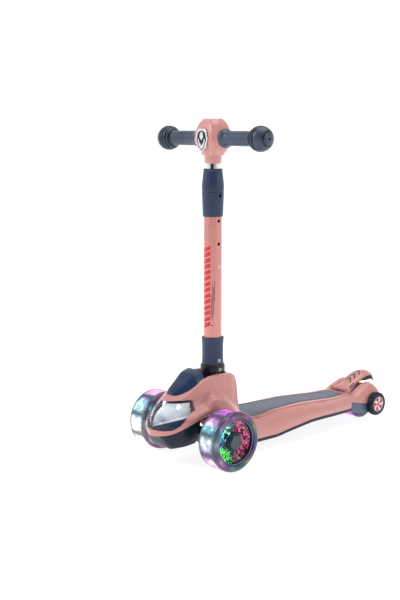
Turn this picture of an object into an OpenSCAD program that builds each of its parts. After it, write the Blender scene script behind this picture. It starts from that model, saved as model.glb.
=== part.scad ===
// Three-wheeled folding kick scooter for children, lean-to-steer.
// Millimetres, +Z up, front at -Y, rider's left at +X, origin on the ground at the
// middle of the outline. Inside the modules y is measured from the stem axis.

/* [Overall] */
// Distance from the part's origin forward to the stem axis
stem_offset = 162.5; // [150:0.5:175]
// Height of the handlebar's centre line
bar_z = 640; // [620:1:660]
// Height of the fold hinge's pin
fold_z = 150; // [146:1:154]

/* [Front wheels] */
// Radius of a front tyre
front_r = 60; // [56:1:62]
// Width of every tyre
tyre_w = 50; // [46:1:52]
// Distance from the middle to a front wheel's middle
front_x = 107.5; // [106:0.5:112]
// Front axle behind the stem axis (negative is ahead)
front_y = -55; // [-58:1:-52]
// Inner radius of a front tyre
front_rim_r = 46; // [44:1:48]

/* [Rear wheel] */
// Radius of the rear tyre
rear_r = 40; // [37:1:40]
// Rear axle behind the stem axis
rear_y = 445; // [443:1:448]
// Inner radius of the rear tyre
rear_rim_r = 27; // [25:1:29]
// Radius of the knurled side caps
cap_r = 28; // [26:1:30]

/* [Deck] */
// Wall of the moulded shell
wall = 3; // [2.5:0.1:3.5]
// Depth of the dark strip below the shell
base_h = 8; // [7:0.5:10]
// Thickness of the foot pad
pad_t = 2.2; // [2:0.1:3]

/* [Stem] */
// Radius of the lower tube
lower_r = 18; // [17:0.5:18]
// Radius of the sliding upper tube
upper_r = 13.85; // [13.5:0.05:14]
// Length that the handlebar rises
rise = 142; // [130:1:145]
// Turned radius of the fold barrel
barrel_r = 26; // [25:0.5:26]

/* [Handlebar] */
// Radius of the cross tube
bar_r = 11; // [10:0.5:12]
// Radius of a grip's handle
grip_r = 14.5; // [14:0.5:16]
// Radius of the ball at a grip's end
ball_r = 24.7; // [22:0.1:26]
// Distance from the middle to a ball's centre
ball_x = 134; // [128:1:140]

/* [Fits] */
// Radial clearance of a running fit
run = 0.05; // [0.02:0.01:0.1]
// Gap between pieces that only lie side by side
gap = 0.3; // [0.2:0.1:0.5]

/* [Hidden] */

pink = [0.87, 0.56, 0.53];
tube_pink = [0.91, 0.66, 0.62];
navy = [0.24, 0.29, 0.38];
deep_blue = [0.13, 0.22, 0.38];
black = [0.07, 0.07, 0.08];
steel = [0.72, 0.74, 0.77];
chrome = [0.85, 0.86, 0.88];
slate = [0.42, 0.45, 0.53];
clear_blue = [0.55, 0.68, 0.85];
eps = 0.01;

// ---------- curves ----------
// Monotone cubic through the rows [y, value, ...] of a table, column k
function seg(tab, y, i = 0) = (i >= len(tab) - 2 || y < tab[i + 1][0]) ? i : seg(tab, y, i + 1);
function secant(tab, i, k) = (tab[i + 1][k] - tab[i][k]) / (tab[i + 1][0] - tab[i][0]);
function knot_slope(tab, i, k) =
  i <= 0 ? secant(tab, 0, k) : i >= len(tab) - 1 ? secant(tab, len(tab) - 2, k) :
  let(a = secant(tab, i - 1, k), b = secant(tab, i, k)) a * b <= 0 ? 0 : 2 * a * b / (a + b);
function curve(tab, y, k = 1) =
  let(i = seg(tab, y), d = tab[i + 1][0] - tab[i][0],
      t = max(0, min(1, (y - tab[i][0]) / d)), u = 1 - t)
  tab[i][k] * u * u * (1 + 2 * t) + tab[i + 1][k] * t * t * (3 - 2 * t)
  + d * t * u * (knot_slope(tab, i, k) * u - knot_slope(tab, i + 1, k) * t);
function mix(a, b, t) = a + (b - a) * t;
function arc(cx, cy, r, a0, a1, n) =
  [for (i = [0:n]) let(a = mix(a0, a1, i / n)) [cx + r * cos(a), cy + r * sin(a)]];
function steps(a, b, n) = [for (i = [0:n]) mix(a, b, i / n)];

// ---------- body form ----------
nose_front = -160;
nose_mid = -85;
nose_half = 60;
body_back = 388;
// Half width of the body at its lower edge, behind the nose
width_rows = [[nose_mid, nose_half], [-40, 61], [0, 63], [40, 66], [75, 68], [200, 68],
  [300, 64], [350, 59], [body_back, 54]];
// Height of the lower edge, which arches over the front axle
edge_rows = [[nose_front, 66], [-144, 71], [-120, 82], [-98, 91], [-68, 99], [-45, 101],
  [-20, 92], [0, 72], [20, 48], [40, 33], [71, 30], [112, 30], [176, 37], [243, 43],
  [313, 42], [body_back, 40]];
// Shoulder line: y, half width, height. Its peak is the flare over a front wheel
shoulder_rows = [[nose_front, 6, 84], [-149, 29, 95], [-122, 43, 104], [-98, 48, 109],
  [-66, 52, 116], [-42, 60, 131], [-20, 60, 126], [5, 57, 108], [30, 55, 86], [50, 53, 73],
  [88, 50, 66], [158, 50, 71], [225, 50, 70], [330, 48, 64], [body_back, 44, 64]];
// Upper edge of the cheeks and the deck: y, half width, height
rim_rows = [[nose_front, 4, 90], [-149, 18, 106], [-122, 27, 126], [-98, 32, 140],
  [-83, 35, 149], [-67, 37, 160], [-50, 39, 168], [-33, 42, 172], [11, 44, 172],
  [25, 40, 166], [34, 36, 152], [40, 33, 118], [44, 34, 88], [52, 40, 78], [64, 42, 75],
  [147, 42, 75], [211, 42, 75], [279, 41, 71], [348, 38, 67], [body_back, 34, 67]];
// Height of the middle line
middle_rows = [[nose_front, 95], [-157, 104], [-149, 116], [-136, 127], [-122, 135],
  [-98, 150], [-83, 160], [-67, 168], [-50, 171], [-33, 172], [11, 172], [25, 166],
  [34, 152], [40, 118], [44, 88], [52, 78], [64, 75], [147, 75], [211, 75], [279, 71],
  [348, 67], [body_back, 67]];

function half_width(y) = y < nose_mid
  ? nose_half * sqrt(max(0.008, 1 - pow((y - nose_mid) / (nose_front - nose_mid), 2)))
  : curve(width_rows, y);
function edge_z(y) = curve(edge_rows, y);

// One half of a section, from the lower edge to the middle, shrunk by off
function half_section(y, off) =
  let(wb = half_width(y) - off, zb = edge_z(y),
      ws = min(wb, curve(shoulder_rows, y) - off), zs = curve(shoulder_rows, y, 2) - off,
      wt = min(ws, curve(rim_rows, y) - off * 0.8), zt = curve(rim_rows, y, 2) - off,
      z0 = curve(middle_rows, y) - off, h = zs - zb, k = zt - zs)
  [[wb - 2, zb], [wb, zb + h * 0.2], [wb, zb + h * 0.5], [mix(wb, ws, 0.35), zb + h * 0.82],
   [ws, zs], [mix(ws, wt, 0.65), zs + k * 0.13], [mix(ws, wt, 0.94), zs + k * 0.35],
   [wt, zs + k * 0.75], [wt * 0.97, zt - k * 0.05], [wt * 0.88, zt],
   [wt * 0.45, mix(zt, z0, 0.8)]];

// Closed ring of the section: up the left flank, over, and down the right flank
function section_ring(y, off, drop) =
  let(half = half_section(y, off), n = len(half))
  concat([[-half[0][0], y, edge_z(y) - drop]], [for (p = half) [-p[0], y, p[1]]],
         [[0, y, curve(middle_rows, y) - off]],
         [for (i = [n - 1:-1:0]) [half[i][0], y, half[i][1]]],
         [[half[0][0], y, edge_z(y) - drop]]);

// Solid skinned over rings of equal length
module skin(rings) {
  m = len(rings[0]);
  n = len(rings);
  sides = [for (i = [0:n - 2], j = [0:m - 1])
    let(a = i * m + j, b = i * m + (j + 1) % m) each [[a, b + m, b], [a, a + m, b + m]]];
  polyhedron(points = [for (r = rings) each r],
    faces = concat(sides, [[for (j = [0:m - 1]) j]], [[for (j = [m - 1:-1:0]) (n - 1) * m + j]]));
}

outer_ys = concat(steps(nose_front, -130, 7), steps(-123, -40, 8), steps(-32, 24, 5),
  [29, 34, 37, 40, 42, 44, 48, 52, 58, 64], steps(88, body_back, 12));
module body_form(off = 0, drop = 0, ys = outer_ys) skin([for (y = ys) section_ring(y, off, drop)]);

module in_frame() translate([0, -stem_offset, 0]) children();
module along_x() rotate([0, 90, 0]) children();
// Draws a (y, z) outline as a plate of width w across the scooter
module side_plate(w) rotate([90, 0, 90]) linear_extrude(w, center = true) children();
module both_sides() { children(); mirror([1, 0, 0]) children(); }

// ---------- shared outlines ----------
// Front view of the headlight window
window_points = [[-20, 77], [20, 77], [35, 81], [46, 121], [36, 133], [14, 131], [-14, 131],
  [-36, 133], [-46, 121], [-35, 81]];
module window_form(grow = 0) translate([0, -84, 0]) rotate([90, 0, 0])
  linear_extrude(90) offset(delta = grow) polygon(window_points);

// Teardrop cover over the nose, a ridge along its middle
cover_rows = [[-52, 17, 177, 180], [-66, 33, 166, 178], [-84, 34, 153, 168],
  [-98, 23, 143, 156], [-113, 5, 141, 145]];
module cover_form(grow = 0, depth = 4) hull() for (r = cover_rows)
  translate([0, r[0], 0]) {
    translate([-r[1] - grow, -grow, r[2] - depth]) cube([2 * (r[1] + grow), 0.2 + 2 * grow, depth]);
    translate([-2, -grow, r[3] - 1]) cube([4, 0.2 + 2 * grow, 1 + grow]);
  }

// Foot pad outline: y and half width
pad_rows = [[57, 20], [60, 33], [66, 42], [78, 45], [100, 43], [147, 36], [211, 32],
  [279, 31], [348, 28], [376, 24]];
pad_sink = 1.5;
function pad_ring(y, grow) =
  let(w = curve(pad_rows, y) + grow, z = curve(middle_rows, y) - pad_sink - grow)
  [[-w, y, z], [-w, y, z + pad_t + grow], [w, y, z + pad_t + grow], [w, y, z]];
pad_ys = concat([57, 58, 60, 63, 66, 71], steps(78, 147, 4), [165, 190, 211], steps(228, 376, 7));
module pad_form(grow = 0) skin([for (y = pad_ys) pad_ring(y, grow)]);

// ---------- fold hinge and steering pivot ----------
ear_in = 26.5;
ear_out = 30.5;
slot_half = 31.2;
slot_front = -35;
bolt_r = 5;
pivot_z = front_r;
steer_tilt = 45;
pin_r = 6;
// Stands children on the steering axis: local z runs up and forward
module on_steer_axis() translate([0, front_y, pivot_z]) rotate([steer_tilt, 0, 0]) children();

// ---------- body pieces ----------
arm_in = 28;
arm_out = 50;
arm_r = 34;
arm_split_z = 42;
screw_ys = [95, 175, 290, 345];
screw_x = 36;
brake_y = 392;
brake_z = 73;
brake_pin_r = 2.5;
well_front = 380;
box_y = 200;
box_l = 76;
box_w = 62;

module rear_arm_outline() intersection() {
  union() {
    translate([rear_y, rear_r]) circle(r = arm_r, $fn = 32);
    polygon([[360, 42], [360, 66], [385, 67], [418, 64], [rear_y, 72], [rear_y, 42]]);
  }
  union() {
    translate([350, arm_split_z]) square([140, 60]);
    translate([rear_y, rear_r]) circle(r = 13, $fn = 24);
  }
}

module deck_shell() in_frame() color(pink) difference() {
  union() {
    difference() {
      body_form();
      body_form(off = wall, drop = 15, ys = concat([-155, -150], steps(-140, 20, 8),
        [28, 34, 37, 40, 44, 52], steps(64, body_back - wall, 9)));
    }
    // cheek walls beside the hinge
    intersection() {
      body_form();
      both_sides() translate([slot_half, slot_front - 3, 104]) cube([2.5, 84, 80]);
    }
    // floor of the hinge well, behind and ahead of the slot
    intersection() {
      body_form();
      translate([-slot_half - 1, slot_front - 3, 104]) cube([2 * slot_half + 2, 3, 80]);
    }
    // screw bosses under the deck
    both_sides() for (y = screw_ys) hull() {
      translate([screw_x, y, edge_z(y) + 1]) cylinder(r = 4, h = 4, $fn = 12);
      translate([screw_x, y, curve(rim_rows, y, 2) - wall - 4]) cylinder(r = 5, h = 4.5, $fn = 12);
    }
    both_sides() translate([(arm_in + arm_out) / 2, 0, 0]) side_plate(arm_out - arm_in)
      rear_arm_outline();
    // lugs that hold the brake pin
    both_sides() translate([arm_in + 4, 0, 0]) side_plate(8) hull() {
      translate([brake_y, brake_z]) circle(r = 6.5, $fn = 32);
      translate([brake_y - 8, 50]) square([16, 4]);
    }
  }
  translate([-slot_half, slot_front, 92]) cube([2 * slot_half, 60, 100]);
  translate([-slot_half, 20, 118]) cube([2 * slot_half, 60, 100]);
  translate([-slot_half + wall, slot_front, 70]) cube([2 * slot_half - 2 * wall, 65, 40]);
  window_form();
  cover_form(grow = gap);
  pad_form(grow = 0.2);
  // rear wheel well, brake root and pins
  translate([-arm_in, well_front, 20]) cube([2 * arm_in, 120, 100]);
  translate([0, brake_y, brake_z]) along_x() cylinder(r = brake_pin_r, h = 70, center = true, $fn = 24);
  translate([0, rear_y, rear_r]) along_x() cylinder(r = 4, h = 120, center = true, $fn = 24);
  // cups for the hinge bolt's head and nut
  translate([0, 0, fold_z]) along_x() cylinder(r = 10, h = 76, center = true, $fn = 24);
}

// Ring of the tray under the deck
function tray_ring(y, inset, top, bottom) =
  let(w = half_width(y) - inset, z = edge_z(y))
  [[-w + 4, y, z - bottom], [-w + 1, y, z - bottom + 3], [-w, y, z + top], [w, y, z + top],
   [w - 1, y, z - bottom + 3], [w - 4, y, z - bottom]];
tray_ys = concat([46, 54, 64], steps(76, 366, 14));

module deck_base() in_frame() color(navy) difference() {
  union() {
    difference() {
      skin([for (y = tray_ys) tray_ring(y, 1.5, -gap, base_h)]);
      skin([for (y = [49, 64, 90, 130, 176, 210, 243, 280, 313, 340, 363])
        tray_ring(y, 5, 10, base_h - wall)]);
    }
    // screw pillars
    both_sides() for (y = screw_ys) hull() {
      translate([screw_x, y, edge_z(y) - base_h + 1]) cylinder(r = 6, h = 2, $fn = 12);
      translate([screw_x, y, edge_z(y)]) cylinder(r = 4, h = 0.8, $fn = 12);
    }
  }
  both_sides() for (y = screw_ys)
    translate([screw_x, y, edge_z(y) - base_h - 2]) cylinder(r = 3.8, h = 4.5, $fn = 24);
  translate([-box_w / 2 - gap, box_y - gap, 20]) cube([box_w + 2 * gap, box_l + 2 * gap, 40]);
}

module deck_screws() in_frame() color(steel) both_sides() for (y = screw_ys)
  translate([screw_x, y, edge_z(y) - base_h + 0.6]) difference() {
    cylinder(r = 3.5, h = 1.8, $fn = 32);
    translate([0, 0, -1]) cylinder(r = 1.6, h = 1.8, $fn = 6);
  }

module grip_pad() in_frame() color(slate) pad_form();
module nose_cover() in_frame() color(deep_blue) cover_form();

// Skin of the nose between two depths, inside the window
module nose_skin(outer, inner, grow) intersection() {
  difference() {
    body_form(off = outer, ys = steps(nose_front + outer * 0.3, -84, 11));
    body_form(off = inner, drop = 20, ys = steps(nose_front + inner, -80, 9));
  }
  window_form(grow = grow);
}
// Point on the skin: section at y, corner k of its right half, at a depth
function skin_point(y, k, depth) = let(p = half_section(y, depth)[k]) [p[0], y, p[1]];
lens_t = 2.4;
mask_in = 14;
mask_t = 2.4;

module headlight_lens() in_frame() color(clear_blue) union() {
  nose_skin(0, lens_t, -gap);
  // snap lugs round the back of the edge
  both_sides() for (at = [[-142, 4], [-122, 5], [-110, 5], [-98, 5]])
    let(p = skin_point(at[0], at[1], lens_t)) hull() {
      translate(p) cube([3, 3, 3], center = true);
      translate(p + [-3, 2, 0]) cube([2, 3, 2], center = true);
    }
}

lamp_at = [21, -108, 118];
lamp_r = 7.5;
module lamp_axis() both_sides() translate(lamp_at) rotate([68, 0, 12]) children();
module headlight_housing() in_frame() color(deep_blue) difference() {
  union() {
    nose_skin(mask_in, mask_in + mask_t, -5);
    both_sides() for (y = [-118, -112, -106, -100])
      let(p = skin_point(y, 5, mask_in + mask_t / 2)) hull() {
        translate(p) cube([2, 2, 4], center = true);
        translate(p + [-3, 2, 0]) cube([2, 2, 2], center = true);
      }
  }
  lamp_axis() cylinder(r = lamp_r + 0.2, h = 60, center = true, $fn = 32);
}

module headlight_lamps() in_frame() color("white") lamp_axis() {
  translate([0, 0, -9]) cylinder(r = lamp_r - 1.5, h = 6, $fn = 48);
  translate([0, 0, -3]) cylinder(r1 = lamp_r - 1.5, r2 = lamp_r, h = 2.5, $fn = 48);
}

module light_board() in_frame() color("darkgreen")
  translate([-20, -89.5, 106]) cube([40, 1.6, 22]);

// Keel of the nose, from the lower lip back to the axle
keel_rows = [[-157, 67], [-150, 60], [-141, 47], [-131, 38], [-110, 38], [-84, 40]];
function keel_ring(y, inset, lift) =
  let(w = half_width(y) - inset, zt = edge_z(y) + (lift ? 12 : -gap), zb = curve(keel_rows, y) + (lift ? inset : 0))
  [[-w * 0.55, y, zb], [-w * 0.85, y, mix(zb, zt, 0.3)], [-w, y, zt], [w, y, zt],
   [w * 0.85, y, mix(zb, zt, 0.3)], [w * 0.55, y, zb]];
module nose_base() in_frame() color(navy) difference() {
  union() {
    difference() {
      skin([for (y = steps(-157, -84, 10)) keel_ring(y, 2, false)]);
      skin([for (y = steps(-150, -80, 7)) keel_ring(y, 5, true)]);
    }
    // ribs that stiffen the bowl
    for (i = [0:7]) hull() {
      translate([-21 + 6 * i - 1, -128, 42]) cube([2, 30, 3]);
      translate([-21 + 6 * i - 1, -124, 46]) cube([2, 22, 2]);
    }
  }
  // room for the steering pivot
  on_steer_axis() cylinder(r = 16, h = 120, center = true, $fn = 32);
}

boss_from = 20;
boss_to = 42;
module hinge_bracket() in_frame() color(black) difference() {
  union() {
    both_sides() translate([(ear_in + ear_out) / 2, 0, 0]) side_plate(ear_out - ear_in) union() {
      translate([0, fold_z]) circle(r = 20, $fn = 64);
      polygon([[-19, fold_z], [-30, 84], [30, 84], [19, fold_z]]);
    }
    side_plate(2 * ear_out) polygon([[-80, 84], [36, 84], [36, 90], [-80, 90]]);
    side_plate(40) polygon([[30, 84], [42, 65], [100, 65], [100, 70], [46, 70], [36, 88], [30, 88]]);
    on_steer_axis() translate([0, 0, boss_from]) cylinder(r = 13, h = boss_to - boss_from, $fn = 64);
  }
  translate([0, 0, fold_z]) along_x() cylinder(r = bolt_r, h = 80, center = true, $fn = 48);
  on_steer_axis() cylinder(r = pin_r, h = 41, $fn = 48);
}

module fold_bolt() in_frame() color(steel) translate([0, 0, fold_z]) along_x() {
  cylinder(r = bolt_r, h = 2 * ear_out + 8, center = true, $fn = 48);
  both_sides_z() translate([0, 0, ear_out]) cylinder(r = 8.5, h = 4, $fn = 6);
}
module both_sides_z() { children(); mirror([0, 0, 1]) children(); }

barrel_half = 16;
module kingpin() in_frame() color(steel) on_steer_axis() {
  translate([0, 0, -32]) cylinder(r = pin_r, h = 32 + 41, $fn = 48);
  translate([0, 0, -34]) cylinder(r = 11, h = 4, $fn = 48);
  translate([0, 0, -40]) cylinder(r = 8.5, h = 6, $fn = 6);
}

module steering_bushings() in_frame() color("dimgray") on_steer_axis() {
  for (span = [[barrel_half + gap, boss_from], [-30, -barrel_half - gap]])
    translate([0, 0, span[0]]) difference() {
      cylinder(r = 11.5, h = span[1] - span[0], $fn = 48);
      translate([0, 0, -1]) cylinder(r = pin_r, h = 30, $fn = 48);
    }
}

module rear_axle() in_frame() color(steel) translate([0, rear_y, rear_r]) along_x() {
  cylinder(r = 4 - run, h = 116, center = true, $fn = 48);
  both_sides_z() translate([0, 0, arm_out + gap]) cylinder(r = 7, h = 6, $fn = 6);
}

module rear_spacers() in_frame() color(steel) translate([0, rear_y, rear_r]) along_x()
  both_sides_z() translate([0, 0, 22 + gap]) difference() {
    cylinder(r = 6.5, h = arm_in - 22 - 2 * gap, $fn = 48);
    translate([0, 0, -1]) cylinder(r = 4, h = 10, $fn = 48);
  }

cap_in = arm_out + gap;
cap_out = 70;
lug_count = 24;
module rear_cap() translate([0, rear_y, rear_r]) along_x() difference() {
  translate([0, 0, cap_in]) rotate_extrude($fn = 96) polygon(concat([[0, 0], [24, 0]],
    arc(25, 3, 3, -90, 0, 3), arc(23, cap_out - cap_in - 5, 5, 0, 90, 4),
    [[0, cap_out - cap_in]]));
  for (i = [0:lug_count - 1]) rotate(i * 360 / lug_count)
    translate([cap_r + 0.4, 0, cap_in + 8]) rotate([35, 0, 0]) cube([2.8, 2.2, 34], center = true);
  translate([0, 0, cap_out - 4]) cylinder(r = 17.2, h = 5, $fn = 64);
  translate([0, 0, cap_in - 1]) cylinder(r = 9, h = 10, $fn = 48);
}
module rear_cap_left() in_frame() color(navy) rear_cap();
module rear_cap_right() in_frame() color(navy) mirror([1, 0, 0]) rear_cap();

petal_count = 5;
module rear_turbine() translate([0, rear_y, rear_r]) along_x() translate([0, 0, cap_out - 4]) {
  cylinder(r = 17, h = 1.5, $fn = 64);
  for (i = [0:petal_count - 1]) rotate(i * 360 / petal_count) linear_extrude(3.3) intersection() {
    translate([10, 6.4]) circle(r = 8, $fn = 48);
    translate([10, -4]) circle(r = 8, $fn = 48);
  }
  cylinder(r = 3, h = 3.7, $fn = 48);
}
module rear_turbine_left() in_frame() color("firebrick") rear_turbine();
module rear_turbine_right() in_frame() color("firebrick") mirror([1, 0, 0]) rear_turbine();

panel_top = 39.2;
module rear_panel() translate([(arm_in + arm_out) / 2, 0, 0]) side_plate(arm_out - arm_in)
  polygon([[370, panel_top], [378, 30], [402, 25], [428, 21], [431, arm_split_z - gap],
    [body_back + gap, arm_split_z - gap], [body_back + gap, panel_top]]);
module rear_panel_left() in_frame() color(navy) rear_panel();
module rear_panel_right() in_frame() color(navy) mirror([1, 0, 0]) rear_panel();

box_floor = 41;
module battery_box() in_frame() color(black) translate([-box_w / 2 + 2, box_y + 3, box_floor])
  difference() {
    cube([box_w - 4, box_l - 6, 20]);
    translate([2, 2, -1]) cube([box_w - 8, box_l - 10, 19]);
  }
module battery_cells() in_frame() color("gold") for (i = [0:2])
  translate([-16.5 + 16.5 * i, box_y + 12, box_floor + 9]) rotate([-90, 0, 0])
    cylinder(r = 7, h = 50, $fn = 48);
module battery_cover() in_frame() color(navy) translate([-box_w / 2, box_y, 36]) cube([box_w, box_l, 2.4]);

module brake_pin() in_frame() color(steel) translate([0, brake_y, brake_z]) along_x()
  cylinder(r = brake_pin_r - run, h = 66, center = true, $fn = 48);
module brake_spring() in_frame() color(steel) translate([0, brake_y, brake_z]) along_x() difference() {
  cylinder(r = 4.6, h = 14, center = true, $fn = 48);
  cylinder(r = 3.2, h = 20, center = true, $fn = 48);
}

// ---------- steering truck ----------
arm_end = 84;
module truck_beam() in_frame() color(black) difference() {
  union() {
    on_steer_axis() cylinder(r = 13, h = 2 * barrel_half, center = true, $fn = 64);
    translate([0, front_y, pivot_z]) along_x() cylinder(r = 11, h = 150, center = true, $fn = 64);
    translate([0, front_y, pivot_z]) along_x() cylinder(r = 8, h = 2 * arm_end, center = true, $fn = 64);
  }
  on_steer_axis() cylinder(r = pin_r + run, h = 60, center = true, $fn = 64);
  both_sides() translate([20, front_y, pivot_z]) along_x() cylinder(r = 4 - run, h = 70, $fn = 48);
}

nut_x = front_x + 14 + gap;
module front_axle_bolts() in_frame() color(steel) both_sides()
  translate([22, front_y, pivot_z]) along_x() cylinder(r = 4 - run, h = nut_x + 4.3 - 22, $fn = 48);
module axle_nuts() in_frame() color(steel) both_sides() translate([nut_x, front_y, pivot_z]) along_x()
  difference() {
    cylinder(r = 6.9, h = 4, $fn = 6);
    translate([0, 0, -1]) cylinder(r = 4 - run, h = 8, $fn = 48);
  }

// ---------- wheels ----------
shoulder = 8;
module tyre(r, rim) along_x() rotate_extrude($fn = 128) polygon(concat(
  [[rim, -tyre_w / 2 + 4], [rim + 5, -tyre_w / 2]],
  arc(r - shoulder, -tyre_w / 2 + shoulder, shoulder, -90, 0, 6),
  arc(r - shoulder, tyre_w / 2 - shoulder, shoulder, 0, 90, 6),
  [[rim + 5, tyre_w / 2], [rim, tyre_w / 2 - 4]]));

hub_half = 21;
bearing_r = 11;
bearing_w = 7;
module front_hub() along_x() rotate_extrude($fn = 128) polygon([
  [front_rim_r, -hub_half], [front_rim_r, hub_half], [front_rim_r - 3, hub_half],
  [front_rim_r - 4, 18], [36, 13], [18, 12], [17, hub_half], [15, hub_half], [15, 14],
  [bearing_r, 14], [bearing_r, 14 - bearing_w], [9, 14 - bearing_w],
  [9, bearing_w - 22], [bearing_r, bearing_w - 22], [bearing_r, -22], [16, -22], [17, 6],
  [35, 6], [front_rim_r - 4, -hub_half]]);
module hub_cap() along_x() translate([0, 0, 19]) rotate_extrude($fn = 96)
  polygon(concat([[0, 0], [14.9, 0]], arc(11.9, 1, 3, 0, 90, 4), [[0, 4.6]]));
module light_ring() along_x() translate([0, 0, hub_half]) rotate_extrude($fn = 128)
  polygon([[front_rim_r - 3, 0], [front_rim_r - 0.2, 0], [front_rim_r - 0.6, 1.6], [front_rim_r - 2.4, 1.6]]);
module bearing_ring() difference() {
  cylinder(r = bearing_r, h = bearing_w, $fn = 64);
  translate([0, 0, -1]) cylinder(r = 4, h = bearing_w + 2, $fn = 64);
}
module bearing_pair(low, high) along_x() {
  translate([0, 0, low]) bearing_ring();
  translate([0, 0, high - bearing_w]) bearing_ring();
  translate([0, 0, low + bearing_w]) difference() {
    cylinder(r = 6, h = high - low - 2 * bearing_w, $fn = 48);
    translate([0, 0, -1]) cylinder(r = 4 + run, h = 60, $fn = 48);
  }
}
module at_left() in_frame() translate([front_x, front_y, front_r]) children();
module at_right() mirror([1, 0, 0]) at_left() children();
module at_rear() in_frame() translate([0, rear_y, rear_r]) children();

module front_tyre_left() color(clear_blue) at_left() tyre(front_r, front_rim_r);
module front_hub_left() color(deep_blue) at_left() front_hub();
module hub_cap_left() color(slate) at_left() hub_cap();
module light_ring_left() color("aliceblue") at_left() light_ring();
module front_bearings_left() color(steel) at_left() bearing_pair(-22, 14);
module front_tyre_right() color(clear_blue) at_right() tyre(front_r, front_rim_r);
module front_hub_right() color(deep_blue) at_right() front_hub();
module hub_cap_right() color(slate) at_right() hub_cap();
module light_ring_right() color("aliceblue") at_right() light_ring();
module front_bearings_right() color(steel) at_right() bearing_pair(-22, 14);

module rear_tyre() color(clear_blue) at_rear() tyre(rear_r, rear_rim_r);
module rear_hub() color(deep_blue) at_rear() along_x() rotate_extrude($fn = 96) polygon([
  [rear_rim_r, -hub_half], [rear_rim_r, hub_half], [rear_rim_r - 3, hub_half], [rear_rim_r - 4, 8],
  [15, 8], [15, 22], [bearing_r, 22], [bearing_r, 22 - bearing_w], [9, 22 - bearing_w],
  [9, bearing_w - 22], [bearing_r, bearing_w - 22], [bearing_r, -22], [15, -22], [15, -8],
  [rear_rim_r - 4, -8], [rear_rim_r - 3, -hub_half]]);
module rear_bearings() color(steel) at_rear() bearing_pair(-22, 22);

// ---------- brake ----------
fender_y = 447;
fender_z = 60;
fender_r = 47;
fender_t = 4;
fender_half = 26.5;
root_half = 24;
// Arc of the fender with a point every 3 degrees
function fender_arc(r, a0, a1) = arc(fender_y, fender_z, r, a0, a1, abs(a1 - a0) / 3);
module brake_fender() in_frame() color(pink) difference() {
  union() {
    side_plate(2 * fender_half) polygon(concat(fender_arc(fender_r, 152, 35),
      fender_arc(fender_r - fender_t, 38, 152)));
    side_plate(2 * root_half) polygon([[brake_y - 5, brake_z - 1], [brake_y - 3, brake_z + 5],
      fender_arc(fender_r, 149, 152)[0], fender_arc(fender_r - fender_t, 152, 155)[0],
      [brake_y + 4, brake_z - 5]]);
    translate([0, brake_y, brake_z]) along_x() cylinder(r = 6, h = 2 * root_half, center = true, $fn = 48);
  }
  translate([0, brake_y, brake_z]) along_x() cylinder(r = brake_pin_r, h = 80, center = true, $fn = 48);
  translate([0, brake_y, brake_z]) along_x() cylinder(r = 6.5, h = 16, center = true, $fn = 48);
}
liner_t = 4;
module fender_liner() in_frame() color(navy) side_plate(2 * fender_half + 1)
  polygon(concat(fender_arc(fender_r - fender_t, 146, 38),
    fender_arc(fender_r - fender_t - liner_t, 41, 146)));
shoe_r = fender_r - fender_t - liner_t - 0.1;
module brake_shoe() in_frame() color(black) side_plate(34) intersection() {
  translate([fender_y, fender_z]) circle(r = shoe_r, $fn = 96);
  translate([428, 86]) square([24, 20]);
}

// ---------- stem ----------
block_top = 187;
collar_top = 243;
sleeve_bottom = 486;
sleeve_top = 535;
tube_top = 520;
neck_top = 555;
clamp_top = 581;
button_z = 386;
pitch = 46;
hole_r = 3.6;
rib_count = 5;

module hinge_knuckle() in_frame() color(black) difference() {
  union() {
    translate([0, 0, fold_z]) along_x() cylinder(r = barrel_r - 1.5, h = 52, center = true, $fn = 96);
    for (i = [0:rib_count - 1]) translate([-22 + 11 * i, 0, fold_z]) along_x()
      cylinder(r = barrel_r, h = 5, center = true, $fn = 96);
    translate([0, 0, 162]) cylinder(r = 25, h = block_top - 162, $fn = 96);
  }
  translate([0, 0, fold_z]) along_x() cylinder(r = bolt_r + run, h = 60, center = true, $fn = 64);
  translate([0, 0, 168]) cylinder(r = lower_r, h = 40, $fn = 96);
}

module lower_tube() in_frame() color(tube_pink) difference() {
  translate([0, 0, 168]) cylinder(r = lower_r, h = tube_top - 168, $fn = 96);
  translate([0, 0, 160]) cylinder(r = lower_r - 2, h = 400, $fn = 96);
  for (i = [0:2]) translate([0, 0, button_z + pitch * i]) along_x() cylinder(r = hole_r, h = 40, $fn = 32);
}

module height_sleeve() in_frame() color(navy) difference() {
  union() {
    translate([0, 0, sleeve_bottom]) cylinder(r1 = 20, r2 = 22, h = sleeve_top - sleeve_bottom, $fn = 96);
    translate([0, 0, sleeve_top]) cylinder(r = 16, h = neck_top - sleeve_top, $fn = 96);
  }
  translate([0, 0, 480]) cylinder(r = lower_r, h = tube_top - 480, $fn = 96);
  translate([0, 0, 480]) cylinder(r = lower_r - 2, h = 532 - 480, $fn = 96);
  translate([0, 0, 480]) cylinder(r = upper_r + run, h = 100, $fn = 96);
  translate([0, 0, button_z + rise]) along_x() cylinder(r = hole_r, h = 40, $fn = 32);
}

module fold_collar() in_frame() color(navy) difference() {
  translate([0, 0, block_top + 0.4]) rotate_extrude($fn = 96) polygon([[18, 0], [22.2, 0],
    [21.6, 12], [21.6, 40], [22.4, 51], [22.75, 53], [22.75, 55], [21.8, 55.6], [18, 55.6]]);
  translate([0, 0, 180]) cylinder(r = lower_r + run, h = 80, $fn = 96);
}

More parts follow.
